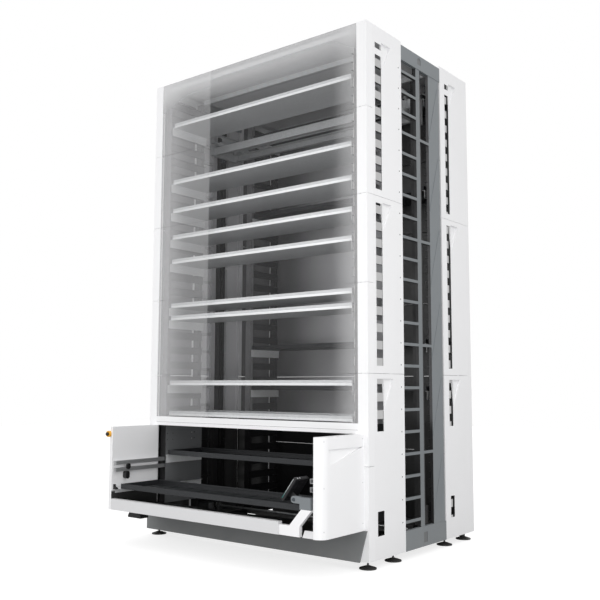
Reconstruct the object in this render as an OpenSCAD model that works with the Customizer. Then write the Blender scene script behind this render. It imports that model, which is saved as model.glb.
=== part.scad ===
// Vertical lift module: two storage columns with a lift shaft between them
// and an external picking bay on the front.
// +X points right, +Y points back, +Z points up, and the feet stand on z = 0.

/* [Overall] */
// Width over the side panels
body_w = 3680; // [3080:10:4280]
// Depth of the front storage column
front_column_d = 790; // [780:5:900]
// Depth of the lift shaft
shaft_d = 1005; // [960:5:1150]
// Depth of the rear storage column
rear_column_d = 782; // [780:2:900]
// Height of one body module
module_h = 1050; // [1000:10:1150]
// Number of modules stacked on each other
module_count = 6; // [6:1:8]
// Height of the panels' lower edge above the floor
foot_h = 95; // [80:1:120]

/* [Sheet metal] */
// Thickness of the painted covers
sheet_t = 3; // [2:0.5:4]
// Depth of the turned-in edges of the covers
cover_return = 30; // [20:1:40]
// Width of a corner cover on the front
corner_w = 140; // [120:1:160]
// Depth of a corner cover on the side
corner_d = 125; // [110:1:150]
// Open joint between two covers
joint_gap = 4; // [2:0.5:6]
// Wall of the frame's rolled sections
frame_t = 4; // [3:0.5:6]

/* [Side panels] */
// Distance from a front side panel's front edge to its slot
front_slot_y = 60; // [50:1:80]
// Width of the slot in a front side panel
front_slot_w = 140; // [120:1:160]
// Distance from a rear side panel's front edge to its slot
rear_slot_y = 135; // [100:1:160]
// Width of the slot in a rear side panel
rear_slot_w = 105; // [80:1:120]
// Width of the pressed recess beside a slot, at its top
recess_w = 210; // [150:1:240]
// Height of the pressed recess
recess_h = 365; // [350:5:500]
// Depth of the pressed recess
recess_depth = 28; // [12:1:34]

/* [Feet] */
// Diameter of a foot's pad
foot_pad_d = 200; // [160:2:200]
// Thickness of the pad at its rim
foot_rim_h = 12; // [8:1:16]
// Height of the pad's dome and collar
foot_dome_h = 38; // [30:1:45]
// Diameter of the threaded spindle
spindle_d = 24; // [20:1:30]
// Distance from a foot's centre to the outside of the body
foot_inset = 102; // [101:1:120]

/* [Trays] */
// Distance from a tray's end to the outside of the body
tray_gap_side = 285; // [275:1:300]
// Depth of a tray, front to back
tray_d = 654; // [620:1:660]
// Height of a tray's edge
tray_h = 65; // [45:1:80]
// Thickness of a tray's sheet
tray_t = 2.5; // [2:0.5:4]
// Depth of the rolled rim along a tray's long edges
tray_rim = 14; // [8:1:20]
// Vertical pitch at which a tray can be stored
shelf_pitch = 35; // [25:5:50]
// Clearance between a tray's underside and its supports
tray_clear = 0.3; // [0.2:0.1:1]

/* [Racks] */
// Vertical pitch of the rack rails
rail_pitch = 210; // [190:5:230]
// Height of a rack rail
rail_h = 105; // [95:1:115]
// Depth of a rail's section
rail_d = 30; // [20:1:40]
// Width of a rack post, front to back
post_w = 60; // [50:1:80]
// Width of a tray support's ledge
ledge_w = 30; // [24:1:34]

/* [Shaft sides] */
// Depth of the ladder's section, across the machine
ladder_t = 45; // [40:1:60]
// Width of the ladder's post
ladder_post_w = 95; // [90:1:120]
// Distance from the front column to the ladder's post
ladder_post_y = 370; // [320:5:380]
// Height of a rung
rung_h = 36; // [28:1:44]
// Vertical pitch of the rungs
rung_pitch = 266; // [250:2:290]
// Number of rungs from one long rung to the next
long_rung_step = 5; // [3:1:6]
// Width of the wide column
wide_column_w = 285; // [250:5:300]
// Height of the header panel over the shaft's side
header_h = 230; // [200:5:260]
// Height of the sill panel under the shaft's side
sill_h = 240; // [220:5:260]

/* [Lift drive] */
// Width inside a guide column
guide_gap = 104; // [96:1:110]
// Depth of a guide column
guide_d = 90; // [80:1:100]
// Pitch of the belt's teeth
belt_pitch = 10; // [8:1:12]
// Number of teeth on a belt pulley
pulley_teeth = 24; // [22:1:25]
// Width of the toothed belt
belt_w = 40; // [30:1:45]
// Thickness of the toothed belt
belt_t = 5; // [4:0.5:6]
// Diameter of the drive shaft
drive_shaft_d = 30; // [25:1:40]
// Radial running clearance of shafts
shaft_clear = 0.05; // [0.03:0.01:0.1]

/* [Lift carriage] */
// Length of a carriage side, front to back
carriage_d = 720; // [680:5:760]
// Height of a carriage side above the tray's level
carriage_up = 160; // [120:5:165]
// Depth of a carriage side below the tray's level
carriage_down = 200; // [180:5:210]
// Travel of the extractor to the front and to the back
extractor_travel = 340; // [250:5:350]
// Length of an extractor bar
extractor_bar_l = 600; // [550:5:640]

/* [Picking bay] */
// How far the bay stands out from the body
bay_reach = 790; // [760:5:850]
// Distance from the bay's side to the body's side
bay_inset = 60; // [50:1:80]
// Height of the bay's underside above the panels' lower edge
bay_low = 345; // [330:5:360]
// Height of the bay's upper edge above the panels' lower edge
bay_high = 1410; // [1380:5:1450]
// Radius of the bay's front corners
bay_corner_r = 110; // [80:2:112]
// Thickness of a bay side, over both skins
bay_side_t = 120; // [118:1:140]
// Height of the sill along the bay's front
bay_sill_h = 140; // [120:5:160]
// Level of the tray in the bay, above the panels' lower edge
bay_tray_z = 612; // [600:2:640]
// Level of the waiting tray, above the panels' lower edge
wait_tray_z = 1000; // [980:5:1050]

/* [Operator controls] */
// Width of the console
console_w = 230; // [200:5:280]
// Height of the console's face
console_h = 305; // [280:5:360]
// Thickness of the console
console_t = 46; // [36:1:60]
// Diameter of the emergency stop's collar
estop_d = 80; // [60:1:84]
// Diameter of the emergency stop's button
estop_button_d = 48; // [34:1:48]
// Travel of the emergency stop's button
estop_travel = 5; // [3:0.5:6]

/* [Hidden] */
// How far a cutting solid runs past what it cuts
overrun = 2;
// Smoothness of round pieces
round_fn = 48;
// Main heights, counted from the floor
body_h = module_h * module_count;
z_low = foot_h;
z_top = z_low + body_h;
// Main widths, counted from the middle
half_w = body_w / 2;
frame_x = half_w - ladder_t;
shaft_cover_t = 5;
ladder_out = half_w - shaft_cover_t;
corner_x = half_w - corner_w;
tray_x = half_w - tray_gap_side;
// Main depths, with the whole machine centred on y = 0
body_d = front_column_d + shaft_d + rear_column_d;
estop_proud = 50;
y_front = (bay_reach + estop_proud - body_d) / 2;
y_shaft = y_front + front_column_d;
y_rear = y_shaft + shaft_d;
y_back = y_front + body_d;
y_mid = (y_shaft + y_rear) / 2;
// Frames at the bottom and at the top
base_h = 80;
shaft_roof_drop = 35;
roof_low = z_top - sheet_t;
frame_top = roof_low - shaft_roof_drop;
top_frame_h = 60;
frame_y_in = 45;
cross_w = 60;
cross_ys = [y_front + frame_y_in, y_shaft - cross_w, y_rear, y_back - cover_return - cross_w];
// Levelling feet, one pair beside each edge of a column
foot_x = half_w - foot_inset;
foot_edge = 127;
foot_ys = [y_front + foot_edge, y_shaft - foot_edge, y_rear + foot_edge, y_back - foot_edge];
foot_collar_r = 24;
foot_nut_d = 42;
foot_nut_h = 19;
foot_thread_clear = 0.5;
// Seams of the side panels and slots through them, as shares of the body's height
side_seam_shares = [0, 1 / 3, 2 / 3, 1];
slot_shares = [[0.0413, 0.0849], [0.2278, 0.3238], [0.3476, 0.6532], [0.6794, 0.9429], [0.9556, 0.9667]];
recess_top_shares = [0.3238, 0.6562, 0.9720];
// Wall of a pressed recess, as a share of its outline, and the strip between a slot and a recess
recess_wall_share = 0.96;
recess_gap = 8;
// Tray places
tray_play = 12;
support_t = 3;
rack_x = tray_x + tray_play + support_t;
post_x = rack_x + rail_d;
tray_to_shaft = 36;
front_tray_y = y_shaft - tray_to_shaft - tray_d;
rear_tray_y = y_rear + tray_to_shaft;
bay_tray_in = 70;
bay_tray_y = y_front - bay_reach + bay_tray_in;
support_leg = 112;
front_level_shares = [0.8995, 0.767, 0.6995, 0.6376, 0.5852, 0.4821, 0.4551, 0.3138, 0.2424];
rear_level_shares = [0.9394, 0.7317, 0.4, 0.2978];
function shelf_level(share) = z_low + shelf_pitch * round(share * body_h / shelf_pitch);
bay_level = z_low + bay_tray_z;
wait_level = z_low + wait_tray_z;
// Front beam over the bay
beam_h = 120;
beam_d = 60;
beam_low = z_low + bay_high;
beam_groove = 3;
beam_groove_share = 0.36;
front_return = 18;
// Rack posts: from the column's edge facing outwards to the one facing the shaft
post_edge = 40;
post_wall = 3;
rail_end = 30;
post_low = z_low + base_h;
post_high = frame_top - top_frame_h;
access_top = beam_low + beam_h;
hole_d = 16;
// Shaft sides
header_low = z_top - header_h;
sill_top = z_low + sill_h;
ladder_post_at = y_shaft + ladder_post_y;
wide_column_gap = 25;
wide_column_y = y_rear - wide_column_gap - wide_column_w;
first_rung = 82;
long_rung_start_step = 3;
rung_count = floor((header_low - sill_top - first_rung - rung_h) / rung_pitch) + 1;
panel_slot_w = 90;
panel_slot_h = 75;
header_slot_y = 410;
header_slot_z = 66;
header_notch_in = 24;
header_notch_h = 18;
sill_slot_y = 430;
sill_slot_z = 45;
sill_slot_h = 125;
emboss_w = 46;
emboss_t = 4;
emboss_end_share = 0.12;
// Guide columns, belts and pulleys
guide_x = frame_x - guide_d;
guide_end = 130;
guide_wall = 3;
guide_low = sill_top;
guide_high = header_low - guide_end;
pulley_r = belt_pitch * pulley_teeth / (2 * PI);
pulley_play = 1;
pulley_flange = 5;
pulley_flange_t = 3;
tooth_h = 2.5;
tooth_share = 0.5;
belt_gap = 0.4;
bottom_pulley_up = 90;
bottom_pulley_z = z_low + base_h + bottom_pulley_up;
top_pulley_down = 60;
top_pulley_z = header_low - top_pulley_down;
axle_d = 20;
bracket_t = 8;
bracket_w = 80;
belt_x = frame_x - bracket_t - 2 * pulley_play - pulley_flange_t - belt_w;
// Lift carriage, standing at the level of the uppermost front tray
lift_level = shelf_level(front_level_shares[0]);
side_plate_in = 150;
side_plate_x = frame_x - side_plate_in;
side_plate_t = 6;
side_flange = 40;
window_r = 40;
window_edge = 60;
window_from_middle = 96;
window_up = 8;
beam_from_end = 90;
carriage_beam_w = 60;
carriage_beam_h = 110;
carriage_beam_top = 60;
carriage_rail_h = 45;
carriage_rail_in = 15;
carriage_rail_x = tray_x - carriage_rail_in;
shoe_l = 120;
shoe_t = 32;
shoe_stem_w = 60;
shoe_belt_gap = 5;
shoe_play = 0.5;
shoe_up = 130;
shoe_down = 170;
clamp_h = 120;
clamp_t = 7;
clamp_down = 20;
// Extractor under the tray: a toothed bar in each track, moved by a pinion
extractor_in = 105;
extractor_x = tray_x - extractor_in;
extractor_w = 50;
extractor_track_h = 36;
extractor_play = 0.5;
extractor_wall = 4;
extractor_head_l = 30;
extractor_head_h = 14;
extractor_head_gap = 4;
extractor_shaft_d = 25;
hanger_t = 8;
hanger_w = 60;
tooth_module = 8;
pinion_teeth = 12;
pinion_w = 14;
pinion_gap = 2;
pinion_r = tooth_module * pinion_teeth / 2;
pinion_top_share = 0.8;
rack_top_share = 0.65;
root_share = 1;
backlash = 0.8;
pressure_angle = 20;
pinion_out_r = pinion_r + tooth_module * pinion_top_share;
pinion_base_r = pinion_r * cos(pressure_angle);
wheel_x = extractor_x + extractor_w / 2;
bar_low = lift_level - carriage_beam_top + extractor_wall + extractor_play;
pitch_z = bar_low + tooth_module * rack_top_share;
extractor_shaft_z = pitch_z - pinion_r;
// Gearmotor beside the right-hand bearing
bearing_in = 105;
bearing_x = frame_x - bearing_in;
bearing_w = 35;
bearing_r = 45;
bearing_foot = 70;
bearing_foot_h = 12;
gearbox_w = 80;
gearbox_h = 160;
gearbox_d = 150;
motor_in = 75;
motor_x = frame_x - motor_in;
motor_d = 110;
motor_l = 225;
motor_fins = 9;
motor_fin_h = 6;
motor_fin_t = 6;
motor_fin_pitch = 16;
motor_cover_l = 40;
// Picking bay, corner by corner
bay_x = half_w - bay_inset;
bay_in_x = bay_x - bay_side_t;
bay_front = y_front - bay_reach;
bay_z_low = z_low + bay_low;
bay_z_high = z_low + bay_high;
bay_flat = bay_reach - bay_corner_r;
bay_recess_shares = [[0.985, 0.876], [0.03, 0.873], [0.955, 0.72]];
bay_arc_steps = 10;
bay_floor_up = 14;
bay_sill_d = 62;
sill_end_in = 477;
bay_sill_end = bay_in_x - sill_end_in;
sill_corner_w = 160;
sill_corner_x = bay_in_x - sill_corner_w;
sill_corner_h = 70;
sill_corner_in = 20;
bay_rail_ups = [484, 574];
bay_rail_h = 50;
bay_rail_d = 60;
bay_rail_end = 80;
bay_rail_start = 24;
bay_ledge_flange = 60;
sensor_w = 62;
sensor_y = 215;
// Each sensor: middle above the bay's bottom, height, distance off the wall, thickness
sensors = [[432, 100, 0, 66], [545, 76, bay_rail_d, 22]];
plate_hole_ys = [90, 196, 560, 610];
plate_hole_zs = [1205, 1290];
// Console and its arm
arm_in = 337;
arm_x = bay_in_x - arm_in;
arm_w = 140;
arm_knee = 110;
arm_lean = 163;
arm_rise = 292;
arm_t = 50;
arm_front = 12;
box_in = 195;
box_x = bay_in_x - box_in;
box_w = 150;
box_h = 130;
box_d = 50;
console_pivot_in = 275;
console_pivot_x = bay_in_x - console_pivot_in;
console_pivot_up = 735;
console_pivot_z = z_low + console_pivot_up;
console_tilt = 53;
console_below = 107;
console_pin_d = 26;
console_pin_gap = 0.05;
console_hub_r = 38;
console_hub_w = 40;
console_ear_t = 14;
console_off = 90;
console_pin_head = 10;
console_pin_head_d = 40;
console_play = 1;
// Emergency stop on the left corner of the bay
estop_in = 50;
estop_x = -bay_x + estop_in;
estop_up = 1317;
estop_z = z_low + estop_up;
estop_collar_l = 90;
estop_collar_front = 26;
estop_bore_l = 60;
estop_wall_clear = 0.3;
estop_plate_t = 14;
estop_plate_side = 25;
// Connector housing under the bay
socket_in = 230;
socket_x = -bay_in_x + socket_in;
socket_w = 145;
socket_foot_w = 250;
socket_foot_h = 24;
socket_h = 108;
socket_d = 130;
socket_y = 200;
// Plinth under the bay
plinth_left_in = 10;
plinth_left = half_w - plinth_left_in;
plinth_right_in = 120;
plinth_right_low = half_w - plinth_right_in;
plinth_slant = 100;
plinth_right_high = plinth_right_low + plinth_slant;
plinth_drop = 10;
plinth_d = 20;

// Shapes that several pieces use
module both_sides() {
    children();
    mirror([1, 0, 0]) children();
}

// A plan outline drawn in x and y, standing from z_from to z_to
module upright(points, z_from, z_to) {
    translate([0, 0, z_from]) linear_extrude(z_to - z_from) polygon(points);
}

// An outline drawn in x and z, running back from y_from to y_to
module run_back(points, y_from, y_to) {
    translate([0, y_to, 0]) rotate([90, 0, 0]) linear_extrude(y_to - y_from) polygon(points);
}

// An outline drawn in y and z, running across from x_from to x_to
module run_across(points, x_from, x_to) {
    translate([x_from, 0, 0]) rotate([90, 0, 90]) linear_extrude(x_to - x_from) polygon(points);
}

module block(low, high) {
    translate(low) cube(high - low);
}

module rod_across(x_from, x_to, y, z, d) {
    translate([x_from, y, z]) rotate([0, 90, 0]) cylinder(h = x_to - x_from, d = d, $fn = round_fn);
}

module rod_back(x, y_from, y_to, z, d) {
    translate([x, y_to, z]) rotate([90, 0, 0]) cylinder(h = y_to - y_from, d = d, $fn = round_fn);
}

function rect(low, high) = [low, [high[0], low[1]], high, [low[0], high[1]]];

// An open channel section with its back at back_at and its flanges reaching to tip_at
function channel(back_at, tip_at, low, high, wall) =
    let (inner = back_at + sign(tip_at - back_at) * wall)
    [[back_at, low], [tip_at, low], [tip_at, low + wall], [inner, low + wall],
     [inner, high - wall], [tip_at, high - wall], [tip_at, high], [back_at, high]];

function swapped(points) = [for (p = points) [p[1], p[0]]];

function middle(points) = [for (k = [0, 1]) (points[0][k] + points[1][k] + points[2][k]) / 3];

function drawn_in(points, share) =
    let (c = middle(points)) [for (p = points) c + (p - c) * share];

// Circle points from one angle to another
function arc(centre, r, from, to, steps) =
    [for (k = [0:steps]) let (a = from + (to - from) * k / steps) centre + r * [cos(a), sin(a)]];

// A bent-up cover seen from outside: a flat sheet with turned-in edges on four sides
module side_cover(y_from, y_to, z_from, z_to) {
    difference() {
        block([frame_x, y_from, z_from], [half_w, y_to, z_to]);
        block([frame_x - overrun, y_from + sheet_t, z_from + sheet_t],
              [half_w - sheet_t, y_to - sheet_t, z_to - sheet_t]);
    }
}

// Frames that carry everything
module base_side_member() {
    difference() {
        run_back(channel(frame_x, rack_x, z_low, z_low + base_h, frame_t),
                 y_front + frame_y_in, y_back - cover_return);
        for (y = foot_ys) translate([foot_x, y, z_low - overrun])
            cylinder(h = frame_t + 2 * overrun, d = spindle_d + foot_thread_clear, $fn = round_fn);
    }
}

module base_frame() color([0.32, 0.34, 0.36]) {
    both_sides() base_side_member();
    for (y = cross_ys)
        run_across(channel(y, y + cross_w, z_low, z_low + base_h, frame_t), -rack_x, rack_x);
}

module top_frame() color([0.62, 0.64, 0.65]) {
    z_from = frame_top - top_frame_h;
    both_sides() run_back(channel(frame_x, post_x, z_from, frame_top, frame_t),
                          y_front + frame_y_in, y_back - cover_return);
    for (y = cross_ys)
        run_across(channel(y, y + cross_w, z_from, frame_top, frame_t), -post_x, post_x);
}

module foot() {
    pad_r = foot_pad_d / 2;
    rotate_extrude($fn = round_fn) polygon(concat(
        [[0, 0], [pad_r, 0], [pad_r, foot_rim_h]],
        [[foot_collar_r, foot_dome_h], [0, foot_dome_h]]));
    translate([0, 0, foot_dome_h])
        cylinder(h = foot_h + base_h / 2 - foot_dome_h, d = spindle_d, $fn = round_fn);
    for (z = [foot_h - foot_nut_h, foot_h + frame_t])
        translate([0, 0, z]) cylinder(h = foot_nut_h, d = foot_nut_d, $fn = 6);
}

module levelling_feet() color([0.07, 0.07, 0.08])
    for (side = [-1, 1]) for (y = foot_ys) translate([side * foot_x, y, 0]) foot();

module plinth() color([0.40, 0.41, 0.42]) {
    z_from = z_low - plinth_drop;
    z_to = bay_z_low;
    outline = [[-plinth_left, z_from], [plinth_right_low, z_from],
               [plinth_right_high, z_to], [-plinth_left, z_to]];
    difference() {
        run_back(outline, y_front - plinth_d, y_front);
        intersection() {
            run_back([for (p = outline) [p[0] - sign(p[0]) * sheet_t, p[1]]],
                     y_front - plinth_d + sheet_t, y_front + overrun);
            block([-half_w, y_front - plinth_d, z_from + sheet_t], [half_w, y_front + overrun, z_to - sheet_t]);
        }
    }
}

// White side panels with see-through slots and pressed recesses
// A wedge on the outside at x: flush along two edges that meet at the third point, deep along the first edge
module recess_wedge(points, x, depth, over) {
    corners = concat([for (p = points) [x + over, p[0], p[1]]],
                     [for (k = [0, 1]) [x - depth, points[k][0], points[k][1]]],
                     [[x, points[2][0], points[2][1]]]);
    hull() polyhedron(corners, [[0, 1, 2], [3, 5, 4], [0, 3, 4, 1], [1, 4, 5, 2], [2, 5, 3, 0]]);
}

module pressed_recess(points, x) {
    difference() {
        recess_wedge(drawn_in(points, 1 / recess_wall_share), x - sheet_t, recess_depth, sheet_t);
        recess_wedge(points, x, recess_depth, overrun);
    }
}

module side_panels(y_from, y_to, slot_y, slot_w, slots) {
    recesses = [for (top = recess_top_shares)
        [[slot_y + slot_w + recess_gap, z_low + top * body_h],
         [slot_y + slot_w + recess_w, z_low + top * body_h],
         [slot_y + slot_w + recess_gap, z_low + top * body_h - recess_h]]];
    for (k = [0:2]) {
        z_from = z_low + side_seam_shares[k] * body_h + joint_gap / 2;
        z_to = min(roof_low, z_low + side_seam_shares[k + 1] * body_h - joint_gap / 2);
        difference() {
            union() {
                side_cover(y_from, y_to, z_from, z_to);
                pressed_recess(recesses[k], half_w);
            }
            for (s = slots) block([frame_x - overrun, slot_y, z_low + s[0] * body_h],
                                  [half_w + overrun, slot_y + slot_w, z_low + s[1] * body_h]);
            recess_wedge(recesses[k], half_w, recess_depth, overrun);
        }
    }
}

// The right side is slotted; the left side is closed, like the shaft's covers
module side_panels_front() color([0.92, 0.92, 0.92]) {
    y_from = y_front + corner_d;
    side_panels(y_from, y_shaft, y_from + front_slot_y, front_slot_w, slot_shares);
    mirror([1, 0, 0]) side_panels(y_from, y_shaft, y_from + front_slot_y, front_slot_w, []);
}

module side_panels_rear() color([0.90, 0.90, 0.90]) {
    side_panels(y_rear, y_back, y_rear + rear_slot_y, rear_slot_w, slot_shares);
    mirror([1, 0, 0]) side_panels(y_rear, y_back, y_rear + rear_slot_y, rear_slot_w, []);
}

module corner_covers() color([0.95, 0.95, 0.95]) {
    plan = [[corner_x, y_front], [half_w, y_front], [half_w, y_front + corner_d],
            [frame_x, y_front + corner_d], [frame_x, y_front + corner_d - sheet_t],
            [half_w - sheet_t, y_front + corner_d - sheet_t], [half_w - sheet_t, y_front + sheet_t],
            [corner_x + sheet_t, y_front + sheet_t], [corner_x + sheet_t, y_front + frame_y_in],
            [corner_x, y_front + frame_y_in]];
    both_sides() for (k = [0:module_count - 1])
        upright(plan, z_low + k * module_h + (k > 0 ? joint_gap / 2 : 0),
                min(roof_low, z_low + (k + 1) * module_h - joint_gap / 2));
}

module front_panels() color([0.85, 0.88, 0.9, 0.35]) {
    lows = concat([access_top], [for (k = [2:module_count - 1]) z_low + k * module_h + joint_gap / 2]);
    for (k = [0:len(lows) - 1]) {
        z_to = min(roof_low, z_low + (k + 2) * module_h - joint_gap / 2);
        difference() {
            block([-corner_x, y_front, lows[k]], [corner_x, y_front + front_return, z_to]);
            block([-corner_x + sheet_t, y_front + sheet_t, lows[k] + sheet_t],
                  [corner_x - sheet_t, y_front + front_return + overrun, z_to - sheet_t]);
        }
    }
}

module front_beam() color([0.95, 0.95, 0.95]) {
    groove_z = beam_low + beam_h * beam_groove_share;
    difference() {
        block([-corner_x, y_front, beam_low], [corner_x, y_front + beam_d, access_top]);
        block([-corner_x - overrun, y_front + sheet_t + beam_groove, beam_low + sheet_t],
              [corner_x + overrun, y_front + beam_d + overrun, access_top - sheet_t]);
        block([-corner_x - overrun, y_front - overrun, groove_z],
              [corner_x + overrun, y_front + beam_groove, groove_z + beam_groove]);
    }
}

module rear_panels() color([0.88, 0.88, 0.88]) {
    for (k = [0:module_count - 1]) {
        z_from = z_low + k * module_h + joint_gap / 2;
        z_to = min(roof_low, z_low + (k + 1) * module_h - joint_gap / 2);
        difference() {
            block([-frame_x, y_back - cover_return, z_from], [frame_x, y_back, z_to]);
            block([-frame_x + sheet_t, y_back - cover_return - overrun, z_from + sheet_t],
                  [frame_x - sheet_t, y_back - sheet_t, z_to - sheet_t]);
        }
    }
}

module roof_panels() color([0.88, 0.88, 0.88]) {
    block([-half_w, y_front, roof_low], [half_w, y_shaft, z_top]);
    block([-half_w, y_shaft, frame_top], [half_w, y_rear, frame_top + sheet_t]);
    block([-half_w, y_rear, roof_low], [half_w, y_back, z_top]);
    for (y = [y_shaft - sheet_t, y_rear])
        block([-frame_x, y, frame_top + joint_gap], [frame_x, y + sheet_t, z_top]);
}

// Grey steelwork on the shaft's open sides
module shaft_ladders() color([0.50, 0.52, 0.53]) both_sides() {
    block([frame_x, ladder_post_at, sill_top], [ladder_out, ladder_post_at + ladder_post_w, header_low]);
    for (k = [0:rung_count - 1]) {
        z = sill_top + first_rung + k * rung_pitch;
        block([frame_x, y_shaft, z], [ladder_out, ladder_post_at, z + rung_h]);
        if (k % long_rung_step == long_rung_start_step)
            block([frame_x, ladder_post_at + ladder_post_w, z], [ladder_out, wide_column_y, z + rung_h]);
    }
}

module wide_columns() color([0.53, 0.55, 0.56]) {
    span = (header_low - sill_top) / module_count;
    y_end = wide_column_y + wide_column_w;
    both_sides() upright(concat(
        [[frame_x, wide_column_y], [ladder_out, wide_column_y], [ladder_out, y_end]],
        [[frame_x, y_end], [frame_x, y_end - frame_t], [ladder_out - frame_t, y_end - frame_t]],
        [[ladder_out - frame_t, wide_column_y + frame_t], [frame_x, wide_column_y + frame_t]]),
        sill_top, header_low);
    for (k = [0:module_count - 1]) {
        low = sill_top + (k + emboss_end_share) * span;
        high = sill_top + (k + 1 - emboss_end_share) * span;
        run_across([[wide_column_y, low], [wide_column_y + emboss_w, low],
                    [y_end, high], [y_end - emboss_w, high]], ladder_out, ladder_out + emboss_t);
    }
}

module shaft_end_panels() color([0.52, 0.54, 0.55]) both_sides() {
    difference() {
        side_cover(y_shaft, y_rear, header_low, frame_top);
        block([half_w - sheet_t - overrun, y_shaft + header_slot_y, header_low + header_slot_z],
              [half_w + overrun, y_shaft + header_slot_y + panel_slot_w,
               header_low + header_slot_z + panel_slot_h]);
        block([half_w - sheet_t - overrun, y_shaft + header_slot_y + header_notch_in,
               header_low + header_slot_z + panel_slot_h - overrun],
              [half_w + overrun, y_shaft + header_slot_y + panel_slot_w - header_notch_in,
               header_low + header_slot_z + panel_slot_h + header_notch_h]);
    }
    difference() {
        side_cover(y_shaft, y_rear, z_low, sill_top);
        block([half_w - sheet_t - overrun, y_shaft + sill_slot_y, z_low + sill_slot_z],
              [half_w + overrun, y_shaft + sill_slot_y + panel_slot_w,
               z_low + sill_slot_z + sill_slot_h]);
    }
}

module shaft_covers_left() color([0.86, 0.87, 0.87]) {
    lows = [for (k = [0:2]) max(sill_top, z_low + side_seam_shares[k] * body_h)];
    highs = [for (k = [0:2]) min(header_low, z_low + side_seam_shares[k + 1] * body_h)];
    for (k = [0:2])
        block([-half_w, y_shaft, lows[k] + (k > 0 ? joint_gap / 2 : 0)],
              [-ladder_out, y_rear, highs[k] - (k < 2 ? joint_gap / 2 : 0)]);
}

// Racks that carry the trays, the same on both sides of both columns
module rack_side(y_from, y_to, rails_from) {
    for (y = [y_from + post_edge, y_to - post_edge - post_w])
        upright(swapped(channel(y, y + post_w, post_x, corner_x, post_wall)), post_low, post_high);
    rail_total = floor((post_high - rails_from - rail_h) / rail_pitch);
    for (k = [0:rail_total]) {
        z = rails_from + k * rail_pitch;
        run_back(channel(post_x, rack_x, z, z + rail_h, post_wall), y_from + rail_end, y_to - rail_end);
    }
}

module rack_sides() color([0.60, 0.62, 0.63]) both_sides() {
    rack_side(y_front + frame_y_in, y_shaft, access_top + rail_d);
    rack_side(y_rear, y_back - frame_y_in, post_low + rail_d);
}

// Access plates beside the bay's mouth, in place of rails
module access_side_plates() color([0.22, 0.23, 0.24]) both_sides() {
    z_from = z_low + bay_low;
    difference() {
        run_back(channel(rack_x, post_x, z_from, access_top - rail_d, post_wall),
                 y_front + beam_d + joint_gap, y_shaft - rail_end);
        for (y = plate_hole_ys) for (z = plate_hole_zs)
            rod_across(rack_x - overrun, rack_x + post_wall + overrun,
                       y_front + y, z_low + z, hole_d);
    }
}

// One angle per tray end, clipped to the rack
module tray_support(y_from, y_to, level) {
    run_back([[rack_x - ledge_w, level - support_t], [rack_x - support_t, level - support_t],
              [rack_x - support_t, level - support_leg], [rack_x, level - support_leg],
              [rack_x, level], [rack_x - ledge_w, level]], y_from, y_to);
}

module tray_supports() color([0.45, 0.47, 0.48]) both_sides() {
    front_from = y_front + frame_y_in + rail_end;
    for (share = front_level_shares)
        tray_support(front_from, y_shaft - rail_end, shelf_level(share));
    for (share = rear_level_shares)
        tray_support(y_rear + rail_end, y_back - frame_y_in - rail_end, shelf_level(share));
    tray_support(front_from, y_shaft - rail_end, wait_level);
    tray_support(front_from, y_shaft - rail_end, bay_level);
    run_back([[rack_x - ledge_w, bay_level - support_t], [bay_in_x - support_t, bay_level - support_t],
              [bay_in_x - support_t, bay_level - bay_ledge_flange],
              [bay_in_x, bay_level - bay_ledge_flange], [bay_in_x, bay_level],
              [rack_x - ledge_w, bay_level]], bay_front + bay_sill_d, y_front);
}

// Lift drive
module guide_columns() color([0.10, 0.10, 0.11]) both_sides() {
    half = guide_gap / 2 + guide_wall;
    upright([[guide_x, y_mid - half], [frame_x, y_mid - half], [frame_x, y_mid + half],
             [guide_x, y_mid + half], [guide_x, y_mid + half - guide_wall],
             [frame_x - guide_wall, y_mid + half - guide_wall],
             [frame_x - guide_wall, y_mid - half + guide_wall],
             [guide_x, y_mid - half + guide_wall]], guide_low, guide_high);
}

module lift_belts() color([0.05, 0.05, 0.05]) both_sides() {
    inner_r = pulley_r + belt_gap;
    outer_r = inner_r + belt_t;
    difference() {
        union() {
            for (z = [bottom_pulley_z, top_pulley_z]) rod_across(belt_x, belt_x + belt_w, y_mid, z, 2 * outer_r);
            block([belt_x, y_mid - outer_r, bottom_pulley_z], [belt_x + belt_w, y_mid + outer_r, top_pulley_z]);
        }
        for (z = [bottom_pulley_z, top_pulley_z])
            rod_across(belt_x - overrun, belt_x + belt_w + overrun, y_mid, z, 2 * inner_r);
        block([belt_x - overrun, y_mid - inner_r, bottom_pulley_z],
              [belt_x + belt_w + overrun, y_mid + inner_r, top_pulley_z]);
    }
}

// A toothed belt pulley on the x axis with a flange on each side
module belt_pulley(bore_d) {
    width = belt_w + 2 * pulley_play;
    difference() {
        union() {
            rotate([90, 0, 90]) linear_extrude(width) union() {
                circle(r = pulley_r - tooth_h, $fn = round_fn);
                for (k = [0:pulley_teeth - 1]) rotate(k * 360 / pulley_teeth)
                    translate([0, -belt_pitch * tooth_share / 2])
                        square([pulley_r, belt_pitch * tooth_share]);
            }
            for (x = [-pulley_flange_t, width])
                rod_across(x, x + pulley_flange_t, 0, 0, 2 * (pulley_r + pulley_flange));
        }
        rod_across(-pulley_flange_t - overrun, width + pulley_flange_t + overrun, 0, 0, bore_d);
    }
}

module top_pulleys() color([0.75, 0.76, 0.77]) both_sides()
    translate([belt_x - pulley_play, y_mid, top_pulley_z]) belt_pulley(axle_d + 2 * shaft_clear);

module drive_pulleys() color([0.70, 0.71, 0.72]) both_sides()
    translate([belt_x - pulley_play, y_mid, bottom_pulley_z]) belt_pulley(drive_shaft_d);

module drive_shaft() color([0.66, 0.67, 0.68]) {
    x_end = belt_x + belt_w + pulley_play + pulley_flange_t;
    rod_across(-x_end, x_end, y_mid, bottom_pulley_z, drive_shaft_d);
}

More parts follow.
